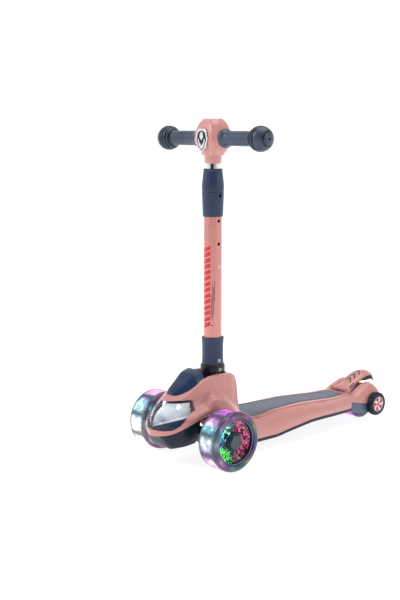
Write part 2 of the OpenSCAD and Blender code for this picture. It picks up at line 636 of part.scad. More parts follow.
module height_clamp() in_frame() color(navy) difference() {
  translate([0, 0, sleeve_top + 0.4]) rotate_extrude($fn = 96) polygon(concat(
    [[14, 0], [21.6, 0], [22, 1.5], [21.9, 12]], arc(18.2, 43.8, 1.8, 0, 90, 3), [[14, 45.6]]));
  translate([0, 0, sleeve_top - 1]) cylinder(r = 16 + run, h = neck_top - sleeve_top + 2, $fn = 96);
  translate([0, 0, sleeve_top - 1]) cylinder(r = upper_r + 0.4, h = 60, $fn = 96);
}

upper_bottom = 345;
module upper_tube() in_frame() color(chrome) difference() {
  union() {
    translate([0, 0, upper_bottom]) cylinder(r = upper_r, h = bar_z - bar_r - 2 - upper_bottom, $fn = 96);
    translate([0, 0, upper_bottom]) cylinder(r = lower_r - 2 - run, h = 18, $fn = 96);
  }
  translate([0, 0, 300]) cylinder(r = upper_r - 1.5, h = 400, $fn = 96);
  translate([0, 0, button_z]) along_x() cylinder(r = hole_r, h = 40, $fn = 32);
}

module snap_button() in_frame() color(steel) translate([10, 0, button_z]) along_x() {
  cylinder(r = hole_r - run, h = 8.2, $fn = 48);
  translate([0, 0, 8.2]) cylinder(r1 = hole_r - run, r2 = 2.8, h = 1.2, $fn = 48);
}

// ---------- handlebar ----------
// Faceted head: height, half width, half depth, corner cut
head_rows = [[606, 18, 16, 6], [622, 29, 24, 9], [634, 34, 28, 10], [650, 34, 27, 10],
  [668, 27, 22, 9], [678, 19, 14, 6]];
function cut_corners(x, y, c) = [[x, y - c], [x - c, y], [c - x, y], [-x, y - c],
  [-x, c - y], [c - x, -y], [x - c, -y], [x, c - y]];
module bar_head() in_frame() color(pink) difference() {
  union() {
    hull() for (r = head_rows) translate([0, 0, r[0] - 0.5]) linear_extrude(0.5)
      polygon(cut_corners(r[1], r[2], r[3]));
    translate([0, 0, 591]) cylinder(r = 17, h = 24, $fn = 64);
  }
  translate([0, 0, bar_z]) along_x() cylinder(r = bar_r, h = 100, center = true, $fn = 64);
  translate([0, 0, 580]) cylinder(r = upper_r, h = bar_z - 582 - bar_r, $fn = 64);
}

shield_points = [[0, -24], [11, -13], [17, 4], [13, 19], [6, 24], [-6, 24], [-13, 19], [-17, 4], [-11, -13]];
module head_badge() in_frame() color(chrome) translate([0, -28, 635]) rotate([90, 0, 0]) {
  difference() {
    linear_extrude(3) polygon(shield_points);
    translate([0, 0, 1.6]) linear_extrude(3) polygon([for (p = shield_points) p * 0.84]);
  }
  translate([0, 0, 1.6]) linear_extrude(1.6) polygon([for (p = shield_points) p * 0.4]);
}

module bar_tube() in_frame() color(steel) translate([0, 0, bar_z]) along_x() difference() {
  cylinder(r = bar_r, h = 2 * ball_x, center = true, $fn = 96);
  cylinder(r = bar_r - 1.8, h = 2 * ball_x + 2, center = true, $fn = 96);
}

groove_xs = [-15, -9, -3, 3];
module grip() translate([0, 0, bar_z]) along_x() difference() {
  rotate_extrude($fn = 96) polygon(concat(
    [[bar_r, 34.4], [18, 34.4], [19, 36], [19, 39], [17, 43], [grip_r, 47], [grip_r, ball_x - 24],
     [17, ball_x - 20]], arc(0, ball_x, ball_r, -46, 84, 16),
    [[2.5, ball_x + ball_r], [2.5, ball_x + 6], [bar_r, ball_x + 6]]));
  for (x = groove_xs) translate([0, 0, ball_x + x]) rotate_extrude($fn = 96)
    translate([sqrt(pow(ball_r, 2) - x * x), 0]) circle(r = 1.6, $fn = 16);
}
module grip_left() in_frame() color(navy) grip();
module grip_right() in_frame() color(navy) mirror([1, 0, 0]) grip();
module grip_plugs() in_frame() color(black) both_sides() translate([0, 0, bar_z]) along_x()
  translate([0, 0, ball_x - 12]) cylinder(r = bar_r - 1.8, h = 11, $fn = 64);

// ---------- one line per node ----------
deck_shell();
deck_base();
grip_pad();
nose_cover();
headlight_lens();
headlight_housing();
headlight_lamps();
light_board();
nose_base();
hinge_bracket();
fold_bolt();
kingpin();
steering_bushings();
rear_axle();
rear_spacers();
rear_cap_left();
rear_cap_right();
rear_turbine_left();
rear_turbine_right();
rear_panel_left();
rear_panel_right();
battery_box();
battery_cells();
battery_cover();
deck_screws();
brake_pin();
brake_spring();
truck_beam();
front_axle_bolts();
axle_nuts();
front_tyre_left();
front_hub_left();
hub_cap_left();
light_ring_left();
front_bearings_left();
front_tyre_right();
front_hub_right();
hub_cap_right();
light_ring_right();
front_bearings_right();
rear_tyre();
rear_hub();
rear_bearings();
brake_fender();
fender_liner();
brake_shoe();
hinge_knuckle();
lower_tube();
height_sleeve();
fold_collar();
height_clamp();
upper_tube();
bar_head();
head_badge();
bar_tube();
grip_left();
grip_right();
grip_plugs();
snap_button();
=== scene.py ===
"""Looks of the three-wheeled kick scooter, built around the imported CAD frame.

Shapes are drawn in millimetres in the stem frame: x to the rider's left, y behind the stem
axis, z above the ground. row() turns them into metres in the frame's own coordinates.
"""

import math
import random

import bmesh
import bpy
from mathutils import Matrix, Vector


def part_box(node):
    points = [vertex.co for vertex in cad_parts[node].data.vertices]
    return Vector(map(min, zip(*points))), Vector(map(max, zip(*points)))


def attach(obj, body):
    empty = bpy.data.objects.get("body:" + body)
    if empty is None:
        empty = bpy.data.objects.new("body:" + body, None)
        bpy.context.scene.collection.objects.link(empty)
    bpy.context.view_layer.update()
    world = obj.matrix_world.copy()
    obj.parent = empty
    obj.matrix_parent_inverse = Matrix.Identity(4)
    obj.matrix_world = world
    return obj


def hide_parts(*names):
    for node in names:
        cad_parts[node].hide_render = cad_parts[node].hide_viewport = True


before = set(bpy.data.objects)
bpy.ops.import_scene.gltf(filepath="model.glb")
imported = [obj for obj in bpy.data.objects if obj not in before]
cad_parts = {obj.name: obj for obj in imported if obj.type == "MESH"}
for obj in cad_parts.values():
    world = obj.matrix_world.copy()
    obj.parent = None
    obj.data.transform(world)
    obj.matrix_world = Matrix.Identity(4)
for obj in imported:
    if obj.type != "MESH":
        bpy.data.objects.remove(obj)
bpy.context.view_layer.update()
scene = bpy.context.scene
MM = 0.001


# ---------- sizes taken from the frame ----------
def middle(node):
    low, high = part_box(node)
    return (low + high) / 2


def half_size(node):
    low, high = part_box(node)
    return (high - low) / 2


STEM_Y = middle("lower_tube").y
LOWER_R = half_size("lower_tube").x / MM
UPPER_R = 13.85
BLOCK_R = 25.0
BAR_Z = middle("bar_tube").z / MM
FRONT_R = half_size("front_tyre_left").z / MM
REAR_R = half_size("rear_tyre").z / MM
TYRE_W = 2 * half_size("rear_tyre").x / MM
FRONT_X = middle("front_tyre_left").x / MM
FRONT_Y = (middle("front_tyre_left").y - STEM_Y) / MM
REAR_Y = (middle("rear_tyre").y - STEM_Y) / MM
FOLD_Z = middle("fold_bolt").z / MM
BUTTON_Z = middle("snap_button").z / MM


def row(point):
    """Stem frame in millimetres to the row frame in metres."""
    return Vector((point[0] * MM, point[1] * MM + STEM_Y, point[2] * MM))


# ---------- curves, the same as the CAD's ----------
def mix(a, b, t):
    return a + (b - a) * t


def steps(a, b, n):
    return [mix(a, b, i / n) for i in range(n + 1)]


def curve(rows, y, k=1):
    """Monotone cubic through the rows (y, value, ...), column k."""
    last = len(rows) - 2
    i = 0
    while i < last and y >= rows[i + 1][0]:
        i += 1

    def secant(j):
        return (rows[j + 1][k] - rows[j][k]) / (rows[j + 1][0] - rows[j][0])

    def slope(j):
        if j <= 0:
            return secant(0)
        if j > last:
            return secant(last)
        a, b = secant(j - 1), secant(j)
        return 0 if a * b <= 0 else 2 * a * b / (a + b)

    d = rows[i + 1][0] - rows[i][0]
    t = max(0, min(1, (y - rows[i][0]) / d))
    u = 1 - t
    return (rows[i][k] * u * u * (1 + 2 * t) + rows[i + 1][k] * t * t * (3 - 2 * t)
            + d * t * u * (slope(i) * u - slope(i + 1) * t))


def arc(cx, cy, r, a0, a1, n):
    angles = [math.radians(a) for a in steps(a0, a1, n)]
    return [(cx + r * math.cos(a), cy + r * math.sin(a)) for a in angles]


def flowing(points, n):
    """Smooth open line through the points, n steps to a span."""
    ends = [points[0]] + list(points) + [points[-1]]
    line = []
    for a, b, c, d in zip(ends, ends[1:], ends[2:], ends[3:]):
        for i in range(n):
            t = i / n
            line.append(tuple(0.5 * (2 * q + (r - p) * t + (2 * p - 5 * q + 4 * r - s) * t * t
                                     + (3 * q - p - 3 * r + s) * t ** 3)
                              for p, q, r, s in zip(a, b, c, d)))
    return line + [tuple(points[-1])]


def rounded(points, radius, n=4):
    """Closed outline with its corners cut round."""
    line = []
    count = len(points)
    for i in range(count):
        before, here, after = (Vector(points[(i + k) % count]) for k in (-1, 0, 1))
        reach = min(radius, (before - here).length * 0.45, (after - here).length * 0.45)
        a = here + (before - here).normalized() * reach
        b = here + (after - here).normalized() * reach
        for t in steps(0, 1, n):
            line.append(tuple(a * (1 - t) ** 2 + here * 2 * t * (1 - t) + b * t * t))
    return line


# ---------- shapes: a shape is (points, faces) in millimetres ----------
def loft(rings, cyclic=False):
    m, n = len(rings[0]), len(rings)
    points = [p for ring in rings for p in ring]
    faces = []
    for i in range(n if cyclic else n - 1):
        for j in range(m):
            a, b = i * m + j, i * m + (j + 1) % m
            c, d = (i + 1) % n * m + (j + 1) % m, (i + 1) % n * m + j
            faces.append((a, b, c, d))
    if not cyclic:
        faces.append(tuple(range(m)))
        faces.append(tuple(range((n - 1) * m, n * m)))
    return points, faces


def lathe(profile, n=96, shift=None):
    """Closed profile of (radius, height) turned round Z. shift(r, h, angle) may move a point."""
    rings = []
    for i in range(n):
        angle = 2 * math.pi * i / n
        ring = []
        for r, h in profile:
            if shift:
                r, h = shift(r, h, angle)
            ring.append((r * math.cos(angle), r * math.sin(angle), h))
        rings.append(ring)
    return loft(rings, cyclic=True)


def prism(outline, low, high):
    return loft([[(u, v, low) for u, v in outline], [(u, v, high) for u, v in outline]])


def moved(shape, change):
    return [change(*p) for p in shape[0]], shape[1]


def joined(*shapes):
    points, faces = [], []
    for more, rims in shapes:
        start = len(points)
        points += more
        faces += [tuple(start + i for i in rim) for rim in rims]
    return points, faces


def block(low, high):
    return prism([(low[0], low[1]), (high[0], low[1]), (high[0], high[1]), (low[0], high[1])],
                 low[2], high[2])


def along_x(shape, at, side=1):
    """Turns a shape that stands on Z to lie along X, pointing out on that side."""
    return moved(shape, lambda u, v, w: (side * (at[0] + w), at[1] + v, at[2] + u))


def pillar(r, low, high, n=32):
    """Upright solid cylinder."""
    return lathe([(0, low), (r, low), (r, high), (0, high)], n)


def rod(r, low, high, at, n=32):
    """Solid cylinder along X, between two distances from a point."""
    return along_x(pillar(r, low, high, n), at)


def across(half, y):
    """Ring across the body at y from its (x, z) points on the left side."""
    return [(x, y, z) for x, z in half] + [(-x, y, z) for x, z in reversed(half)]


def side_plate(outline, low, high):
    """A plate between two x from its (y, z) outline."""
    return moved(prism(outline, low, high), lambda u, v, w: (w, u, v))


def mirrored(shape):
    return moved(shape, lambda x, y, z: (-x, y, z))


def shape_object(name, shape, origin=(0, 0, 0)):
    base = row(origin)
    mesh = bpy.data.meshes.new(name)
    mesh.from_pydata([row(p) - base for p in shape[0]], [], shape[1])
    work = bmesh.new()
    work.from_mesh(mesh)
    bmesh.ops.remove_doubles(work, verts=work.verts, dist=1e-6)
    bmesh.ops.dissolve_degenerate(work, edges=work.edges, dist=1e-7)
    bmesh.ops.recalc_face_normals(work, faces=work.faces)
    work.to_mesh(mesh)
    work.free()
    obj = bpy.data.objects.new(name, mesh)
    obj.location = base
    scene.collection.objects.link(obj)
    return obj


def settle(obj):
    """Applies the modifiers."""
    graph = bpy.context.evaluated_depsgraph_get()
    mesh = bpy.data.meshes.new_from_object(obj.evaluated_get(graph))
    obj.modifiers.clear()
    obj.data = mesh
    return obj


def combine(obj, operation, *shapes):
    for shape in shapes:
        tool = shape if isinstance(shape, bpy.types.Object) else shape_object("tool", shape)
        change = obj.modifiers.new("combine", "BOOLEAN")
        change.operation = operation
        change.solver = "MANIFOLD"
        change.object = tool
        settle(obj)
        bpy.data.objects.remove(tool)
    return obj


def soften(obj, width, segments=2, angle=30):
    bevel = obj.modifiers.new("soften", "BEVEL")
    bevel.width = width * MM
    bevel.segments = segments
    bevel.limit_method = "ANGLE"
    bevel.angle_limit = math.radians(angle)
    return settle(obj)


def dress(obj, material, body, slot, replaces=(), crease=35):
    """Gives a finished piece its material, shading and body; slot is not used."""
    obj.data.materials.clear()
    obj.data.materials.append(material)
    obj.data.shade_smooth()
    obj.data.set_sharp_from_angle(angle=math.radians(crease))
    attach(obj, body)
    if replaces:
        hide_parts(*replaces)
    return obj


def piece(name, shape, *look, **more):
    """A piece straight from its shape."""
    return dress(shape_object(name, shape), *look, **more)


# ---------- materials ----------
def linear(r, g, b):
    """Colour as seen on a screen, 0 to 255, to the shader's linear light."""
    def lin(c):
        c /= 255
        return c / 12.92 if c <= 0.04045 else ((c + 0.055) / 1.055) ** 2.4
    return lin(r), lin(g), lin(b), 1.0


class Nodes:
    """Short names for making and linking the nodes of one tree."""

    def __init__(self, tree, place):
        self.tree = tree
        self.place = self.node("ShaderNodeTexCoord").outputs[place]

    def node(self, kind, **settings):
        made = self.tree.nodes.new(kind)
        for key, value in settings.items():
            setattr(made, key, value)
        return made

    def feed(self, socket, value):
        if isinstance(value, bpy.types.NodeSocket):
            self.tree.links.new(value, socket)
        else:
            socket.default_value = value

    def math(self, operation, a, b=0.0):
        made = self.node("ShaderNodeMath", operation=operation)
        self.feed(made.inputs[0], a)
        self.feed(made.inputs[1], b)
        return made.outputs[0]

    def times(self, a, b):
        return self.math("MULTIPLY", a, b)

    def size(self, a):
        return self.math("ABSOLUTE", a)

    def spread(self, value, low, high, to_low=0.0, to_high=1.0):
        """Smooth step from to_low at low to to_high at high."""
        made = self.node("ShaderNodeMapRange", interpolation_type="SMOOTHSTEP")
        for i, item in enumerate((value, low, high, to_low, to_high)):
            self.feed(made.inputs[i], item)
        return made.outputs[0]

    def wander(self, scale, detail, low, high):
        """Drifts between two values over the surface."""
        return self.spread(self.noise(scale, detail), 0.3, 0.7, low, high)

    def blend(self, factor, a, b):
        made = self.node("ShaderNodeMix", data_type="RGBA")
        self.feed(made.inputs["Factor"], factor)
        self.feed(made.inputs[6], a)
        self.feed(made.inputs[7], b)
        return made.outputs[2]

    def noise(self, scale, detail=2, rough=0.5, place=None):
        made = self.node("ShaderNodeTexNoise")
        self.feed(made.inputs["Vector"], place or self.place)
        made.inputs["Scale"].default_value = scale
        made.inputs["Detail"].default_value = detail
        made.inputs["Roughness"].default_value = rough
        return made.outputs["Fac"]

    def stretched(self, scale):
        made = self.node("ShaderNodeMapping")
        self.feed(made.inputs["Vector"], self.place)
        made.inputs["Scale"].default_value = scale
        return made.outputs[0]

    def axes(self):
        made = self.node("ShaderNodeSeparateXYZ")
        self.feed(made.inputs[0], self.place)
        return made.outputs[0], made.outputs[1], made.outputs[2]

    def ramp(self, value, stops):
        """Colours, as seen on a screen, at their places along a value."""
        made = self.node("ShaderNodeValToRGB")
        while len(made.color_ramp.elements) < len(stops):
            made.color_ramp.elements.new(0.5)
        for element, (at, colour) in zip(made.color_ramp.elements, stops):
            element.position = at
            element.color = linear(*colour)
        self.feed(made.inputs[0], value)
        return made.outputs[0]


class Shader(Nodes):
    """A material being built."""

    def __init__(self, name):
        self.material = bpy.data.materials.new(name)
        self.material.use_nodes = True
        super().__init__(self.material.node_tree, "Object")
        self.bsdf = self.tree.nodes["Principled BSDF"]

    def bump(self, height, distance):
        made = self.node("ShaderNodeBump")
        made.inputs["Strength"].default_value = 1.0
        made.inputs["Distance"].default_value = distance * MM
        self.feed(made.inputs["Height"], height)
        self.feed(self.bsdf.inputs["Normal"], made.outputs[0])

    def set(self, **values):
        names = {"colour": "Base Color", "rough": "Roughness", "metal": "Metallic",
                 "coat": "Coat Weight", "coat_rough": "Coat Roughness", "ior": "IOR",
                 "specular": "Specular IOR Level", "through": "Transmission Weight",
                 "glow": "Emission Color", "glow_power": "Emission Strength"}
        for key, value in values.items():
            self.feed(self.bsdf.inputs[names[key]], value)


def scaled(colour, by):
    """A screen colour in linear light, made darker or lighter."""
    return tuple(min(1, c * by) for c in linear(*colour)[:3]) + (1,)


def moulded(name, colour, rough=0.35, spread=0.06, grain=700, depth=0.03, **more):
    """Moulded or painted surface: slow tint drift over a fine grain."""
    s = Shader(name)
    s.set(colour=s.blend(s.spread(s.noise(14, 3), 0.35, 0.65), scaled(colour, 1 - spread),
                         scaled(colour, 1 + spread)),
          rough=s.wander(60, 4, rough * 0.85, rough * 1.15), **more)
    s.bump(s.noise(grain, 2), depth)
    return s.material


def brushed(name, colour, rough, along, metal=1.0, streaks=0.86, **more):
    """Metal with fine streaks along one axis, given as a noise scale for each axis."""
    s = Shader(name)
    streak = s.noise(1.0, 4, 0.7, s.stretched(along))
    s.set(colour=s.blend(s.spread(streak, 0.3, 0.7), scaled(colour, streaks),
                         linear(*colour)), metal=metal,
          rough=s.spread(streak, 0.3, 0.7, rough * 0.9, rough * 1.1), **more)
    s.bump(streak, 0.002)
    return s.material


def polar(s):
    """Angle round the axle, 0 to 1 with the front at one half, and the distance from it in mm."""
    x, y, z = s.axes()
    angle = s.math("ARCTAN2", z, s.times(y, -1.0))
    turn = s.math("ADD", s.math("DIVIDE", angle, 2 * math.pi), 0.5)
    away = s.math("SQRT", s.math("ADD", s.times(y, y), s.times(z, z)))
    return turn, s.math("DIVIDE", away, MM), s.math("DIVIDE", s.size(x), MM)


def glowing_tyre(name, stops, radius, windows, power):
    """Dark clear urethane over lights: soft bright patches in the tread, dim colour in the wall."""
    s = Shader(name)
    turn, away, sideways = polar(s)
    light = s.ramp(turn, stops)
    beat = s.math("PINGPONG", s.times(turn, windows), 0.5)
    pane = s.times(s.spread(beat, 0.02, 0.30), s.spread(sideways, 20, 8))
    tread = s.times(pane, s.spread(away, radius - 6, radius - 1))
    band = s.times(s.spread(away, radius - 2, radius - 6),
                  s.spread(away, radius - 14, radius - 9))
    wall = s.times(band, s.spread(beat, 0.12, 0.5))
    speck = s.spread(s.noise(90, 2), 0.4, 0.65, 0.45, 1.3)
    amount = s.math("ADD", s.times(tread, power), s.times(wall, power * 0.22))
    amount = s.times(s.math("ADD", amount, 0.05), speck)
    base = s.blend(0.10, linear(24, 26, 62), light)
    s.set(colour=base, rough=s.wander(30, 3, 0.10, 0.18), coat=0.35,
          coat_rough=0.05, glow=light, glow_power=amount)
    s.bump(s.noise(160, 2), 0.04)
    return s.material


def glitter(name, zones, base, power):
    """Faceted glitter under clear plastic: small cells take colour and glow by zone round the axle, as
    painted reflections of the wheel's lights.
    """
    s = Shader(name)
    turn = polar(s)[0]
    cells = s.node("ShaderNodeTexVoronoi", feature="F1")
    s.feed(cells.inputs["Vector"], s.place)
    cells.inputs["Scale"].default_value = 300
    chance = s.node("ShaderNodeSeparateColor")
    s.feed(chance.inputs[0], cells.outputs["Color"])
    light = s.ramp(turn, zones)
    lit = s.spread(chance.outputs[0], 0.62, 0.75)
    bright = s.times(lit, s.spread(chance.outputs[1], 0.1, 1.0, 0.4, 1.0))
    # painted reflection: the glinting cells take the colour round the axle and glow with it
    s.set(colour=s.blend(lit, base, light), rough=0.12, metal=0.35, coat=1.0, coat_rough=0.05,
          glow=light, glow_power=s.times(bright, power))
    s.bump(cells.outputs["Distance"], 0.5)
    return s.material


shell_pink = moulded("shell_pink", (203, 138, 133), 0.32, 0.02, 500, 0.003, coat=0.35, coat_rough=0.1)
head_pink = moulded("head_pink", (208, 144, 139), 0.3, 0.02, 600, 0.02, coat=0.3,
                    coat_rough=0.1)
tube_pink = brushed("tube_pink", (205, 138, 131), 0.24, (260, 260, 8), 0.8, 0.985,
                    coat=0.3, coat_rough=0.08)
navy = moulded("navy_plastic", (44, 58, 86), 0.34, 0.06, 800, 0.04, specular=0.35)
dark_navy = moulded("dark_navy_plastic", (22, 30, 46), 0.32, 0.06, 800, 0.03,
                    specular=0.3)
slate = moulded("slate_plastic", (78, 92, 114), 0.34, 0.05, 700, 0.03)
BALL_R, BALL_X, GRIP_R = 24.7, 134.0, 14.5
GROOVES, BALL_STEP = (-17, -11, -5, 1), 20


def grip_material():
    """Slate rubber, with painted shadow darkening the grooves of the balls."""
    s = Shader("grip_rubber")
    along = s.size(s.axes()[0])
    tint = s.blend(s.spread(s.noise(20, 3), 0.35, 0.65), linear(50, 62, 82), linear(60, 74, 96))
    # painted shadow: each groove and the ring at BALL_STEP are darkened to near black
    for at in GROOVES + (BALL_STEP,):
        off = s.size(s.math("SUBTRACT", along, (BALL_X + at) * MM))
        tint = s.blend(s.spread(off, 0.0018, 0.0011), tint, linear(9, 11, 17))
    s.set(colour=tint, rough=0.36, specular=0.5)
    s.bump(s.noise(1500, 2), 0.05)
    return s.material


grip_rubber = grip_material()
deep_blue = moulded("deep_blue_gloss", (16, 44, 80), 0.34, 0.04, 300, 0.01, coat=0.25,
                    coat_rough=0.2, specular=0.3)
black = moulded("black_plastic", (15, 15, 17), 0.32, 0.1, 700, 0.03)
black_metal = moulded("black_metal", (24, 25, 28), 0.3, 0.1, 1200, 0.05, metal=0.4)
steel = brushed("bright_steel", (196, 199, 205), 0.26, (300, 300, 300))
chrome = brushed("chrome_trim", (232, 234, 238), 0.07, (500, 500, 40))
white_print = moulded("white_print", (238, 240, 244), 0.4, 0.03)
# black print, and also a painted dark reflection on the chrome slide tube
black_print_and_reflection = moulded("black_print_and_reflection", (22, 22, 26), 0.4, 0.05)
red_print = moulded("red_print", (214, 40, 50), 0.35, 0.05)
red_gloss = moulded("turbine_red", (196, 24, 40), 0.2, 0.08, coat=0.5)
urethane = moulded("urethane", (70, 70, 74), 0.5, 0.1, 900, 0.05)
friction = moulded("friction_rubber", (30, 30, 32), 0.7, 0.1, 1500, 0.15)
board_green = moulded("circuit_board", (20, 84, 48), 0.4, 0.1, 900, 0.05)
cell_gold = moulded("cell_wrap", (176, 140, 52), 0.35, 0.08)


def pad_material():
    """Slate rubber: lengthwise grain over a fine pebble, paler along the middle."""
    s = Shader("slate_pad")
    lines = s.noise(1.0, 5, 0.65, s.stretched((900, 160, 500)))
    pebble = s.noise(900, 3, 0.6)
    paler_middle = s.spread(s.size(s.axes()[0]), 0.036, 0.006)
    tone = s.blend(s.spread(lines, 0.32, 0.68), linear(84, 90, 106), linear(112, 118, 133))
    tone = s.blend(s.times(paler_middle, 0.3), tone, linear(126, 131, 144))
    s.set(colour=tone, rough=s.spread(pebble, 0.3, 0.7, 0.5, 0.75))
    s.bump(s.math("ADD", lines, pebble), 0.25)
    return s.material


def lens_material():
    """Clear moulded lens with a faint haze."""
    s = Shader("clear_lens")
    s.set(colour=linear(244, 247, 252), rough=s.wander(40, 3, 0.018, 0.045),
          through=1.0, ior=1.04, coat=0.35, coat_rough=0.08)
    return s.material


def lamp_material():
    """Lit lamp, a little uneven."""
    s = Shader("lamp_white")
    s.set(colour=linear(245, 248, 255), rough=0.15, glow=linear(255, 255, 255),
          glow_power=s.spread(s.noise(80, 2), 0.2, 0.8, 0.96, 1.44))
    return s.material


slate_pad = pad_material()
# dark pink standing in for the shade in the fender's grooves
chevron_groove_shade = moulded("chevron_groove_shade", (70, 44, 50), 0.35, 0.1, 500, 0.02)
clear_lens = lens_material()
lamp_white = lamp_material()
ring_pale = moulded("ring_pale", (84, 98, 148), 0.16, 0.1, 300, 0.01, coat=0.5)

# Light colours round a wheel, from the back over the bottom, the front and the top
LEFT_STOPS = [
    (0.00, (70, 90, 220)), (0.07, (120, 60, 190)), (0.13, (225, 205, 60)),
    (0.19, (40, 120, 130)), (0.26, (60, 190, 160)), (0.33, (190, 80, 200)),
    (0.40, (255, 190, 225)), (0.45, (120, 90, 170)), (0.52, (225, 250, 250)),
    (0.58, (120, 225, 245)), (0.64, (235, 150, 225)), (0.71, (160, 90, 190)),
    (0.79, (235, 110, 140)), (0.86, (120, 70, 160)), (0.92, (215, 215, 60)),
    (1.00, (70, 90, 220))]
RIGHT_STOPS = [
    (0.00, (70, 90, 220)), (0.10, (150, 60, 190)), (0.22, (200, 70, 190)),
    (0.32, (225, 120, 215)), (0.40, (250, 225, 240)), (0.48, (255, 255, 250)),
    (0.56, (200, 245, 250)), (0.63, (140, 200, 225)), (0.70, (225, 150, 220)),
    (0.78, (225, 90, 130)), (0.88, (150, 80, 190)), (1.00, (70, 90, 220))]
REAR_STOPS = [
    (0.00, (60, 190, 150)), (0.10, (70, 200, 190)), (0.22, (60, 40, 90)),
    (0.30, (210, 90, 215)), (0.42, (150, 80, 200)), (0.55, (90, 110, 210)),
    (0.68, (230, 150, 200)), (0.78, (235, 225, 90)), (0.88, (110, 210, 120)),
    (1.00, (60, 190, 150))]
# Colours of the painted glints on the hub facets, round the axle
HUB_GLINT_ZONES = [
    (0.00, (240, 40, 130)), (0.16, (180, 20, 80)), (0.25, (30, 60, 60)),
    (0.30, (60, 240, 80)), (0.42, (70, 250, 60)), (0.47, (40, 80, 200)),
    (0.56, (60, 200, 220)), (0.66, (150, 255, 235)), (0.74, (20, 60, 80)),
    (0.84, (225, 30, 120)), (1.00, (240, 40, 130))]
tyre_left_glow = glowing_tyre("tyre_left", LEFT_STOPS, FRONT_R, 9, 1.3)
tyre_right_glow = glowing_tyre("tyre_right", RIGHT_STOPS, FRONT_R, 9, 1.9)
tyre_rear_glow = glowing_tyre("tyre_rear", REAR_STOPS, REAR_R, 7, 1.2)
hub_glitter_glints = glitter("hub_facets", HUB_GLINT_ZONES, linear(10, 20, 30), 1.3)
cap_teal = moulded("hub_cap_teal", (26, 54, 66), 0.22, 0.15, 300, 0.02, coat=0.4)

# ---------- body form ----------
NOSE_FRONT, NOSE_MID, NOSE_HALF, BODY_BACK, WALL = -160, -85, 60, 388, 3
WIDTH_ROWS = [(NOSE_MID, NOSE_HALF), (-40, 61), (0, 63), (40, 66), (75, 68), (200, 68),
              (300, 64), (350, 59), (BODY_BACK, 54)]
EDGE_ROWS = [(NOSE_FRONT, 66), (-144, 71), (-120, 82), (-98, 91), (-68, 99), (-45, 101),
             (-20, 92), (0, 72), (20, 48), (40, 33), (71, 30), (112, 30), (176, 37),
             (243, 43), (313, 42), (BODY_BACK, 40)]
SHOULDER_ROWS = [(NOSE_FRONT, 6, 84), (-149, 29, 95), (-122, 43, 104), (-98, 48, 109),
                 (-66, 52, 116), (-42, 60, 131), (-20, 60, 126), (5, 57, 108), (30, 55, 86),
                 (50, 53, 73), (88, 50, 66), (158, 50, 71), (225, 50, 70), (330, 48, 64),
                 (BODY_BACK, 44, 64)]
RIM_ROWS = [(NOSE_FRONT, 4, 90), (-149, 18, 106), (-122, 27, 126), (-98, 32, 140),
            (-83, 35, 149), (-67, 37, 160), (-50, 39, 168), (-33, 42, 172), (11, 44, 172),
            (25, 40, 166), (34, 36, 152), (40, 33, 118), (44, 34, 88), (52, 40, 78),
            (64, 42, 75), (147, 42, 75), (211, 42, 75), (279, 41, 71), (348, 38, 67),
            (BODY_BACK, 34, 67)]
MIDDLE_ROWS = [(NOSE_FRONT, 95), (-157, 104), (-149, 116), (-136, 127), (-122, 135),
               (-98, 150), (-83, 160), (-67, 168), (-50, 171), (-33, 172), (11, 172),
               (25, 166), (34, 152), (40, 118), (44, 88), (52, 78), (64, 75), (147, 75),
               (211, 75), (279, 71), (348, 67), (BODY_BACK, 67)]
WINDOW = [(-26, 78), (26, 78), (41, 80), (50, 89), (53, 99), (46, 111), (38, 123), (34, 133),
          (14, 131), (-14, 131), (-34, 133), (-38, 123), (-46, 111), (-53, 99), (-50, 89),
          (-41, 80)]
WINDOW_BACK = -84
# Shield: y, half width, height at the edge, height and half width of the crown
COVER_ROWS = [(-113.5, 9, 141, 144, 6), (-111, 13, 141.4, 145.8, 8.5), (-107, 17, 142.5, 148.6, 11),
              (-98, 22, 145.6, 155, 14), (-84, 27.5, 152, 164, 17), (-66, 31, 161, 177, 19.5),
              (-49, 31, 168.5, 182, 20)]
PAD_ROWS = [(57, 20), (60, 33), (66, 42), (78, 45), (100, 43), (147, 36), (211, 32),
            (279, 31), (348, 28), (376, 24)]
PAD_T, PAD_SINK = 2.2, 1.5
SLOT_HALF, SLOT_FRONT = 31.2, -35
ARM_IN, ARM_OUT = 28, 56
SCREW_X, SCREW_YS = 36, (95, 175, 290, 345)
BRAKE_Y, BRAKE_Z = 392, 73
BRAKE_AT = (0, BRAKE_Y, BRAKE_Z)
SIDES = ((1, "left"), (-1, "right"))


def half_width(y):
    if y >= NOSE_MID:
        return curve(WIDTH_ROWS, y)
    along = (y - NOSE_MID) / (NOSE_FRONT - NOSE_MID)
    return NOSE_HALF * math.sqrt(max(0.008, 1 - along * along))


def edge_z(y):
    return curve(EDGE_ROWS, y)


def half_section(y, off=0.0):
    wb, zb = half_width(y) - off, edge_z(y)
    ws, zs = min(wb, curve(SHOULDER_ROWS, y) - off), curve(SHOULDER_ROWS, y, 2) - off
    wt, zt = min(ws, curve(RIM_ROWS, y) - off * 0.8), curve(RIM_ROWS, y, 2) - off
    z0 = curve(MIDDLE_ROWS, y) - off
    h, k = zs - zb, zt - zs
    return [(wb - 2, zb), (wb, zb + h * 0.2), (wb, zb + h * 0.5),
            (mix(wb, ws, 0.35), zb + h * 0.82), (ws, zs), (mix(ws, wt, 0.65), zs + k * 0.13),
            (mix(ws, wt, 0.94), zs + k * 0.35), (wt, zs + k * 0.75),
            (wt * 0.97, zt - k * 0.05), (wt * 0.88, zt), (wt * 0.45, mix(zt, z0, 0.8))]


def body_ring(y, off=0.0, drop=0.0):
    half = half_section(y, off)
    line = half + [(0, curve(MIDDLE_ROWS, y) - off)] + [(-x, z) for x, z in reversed(half)]
    line = flowing(line, 3)
    low = edge_z(y) - drop
    return [(line[0][0], y, low)] + [(x, y, z) for x, z in line] + [(line[-1][0], y, low)]


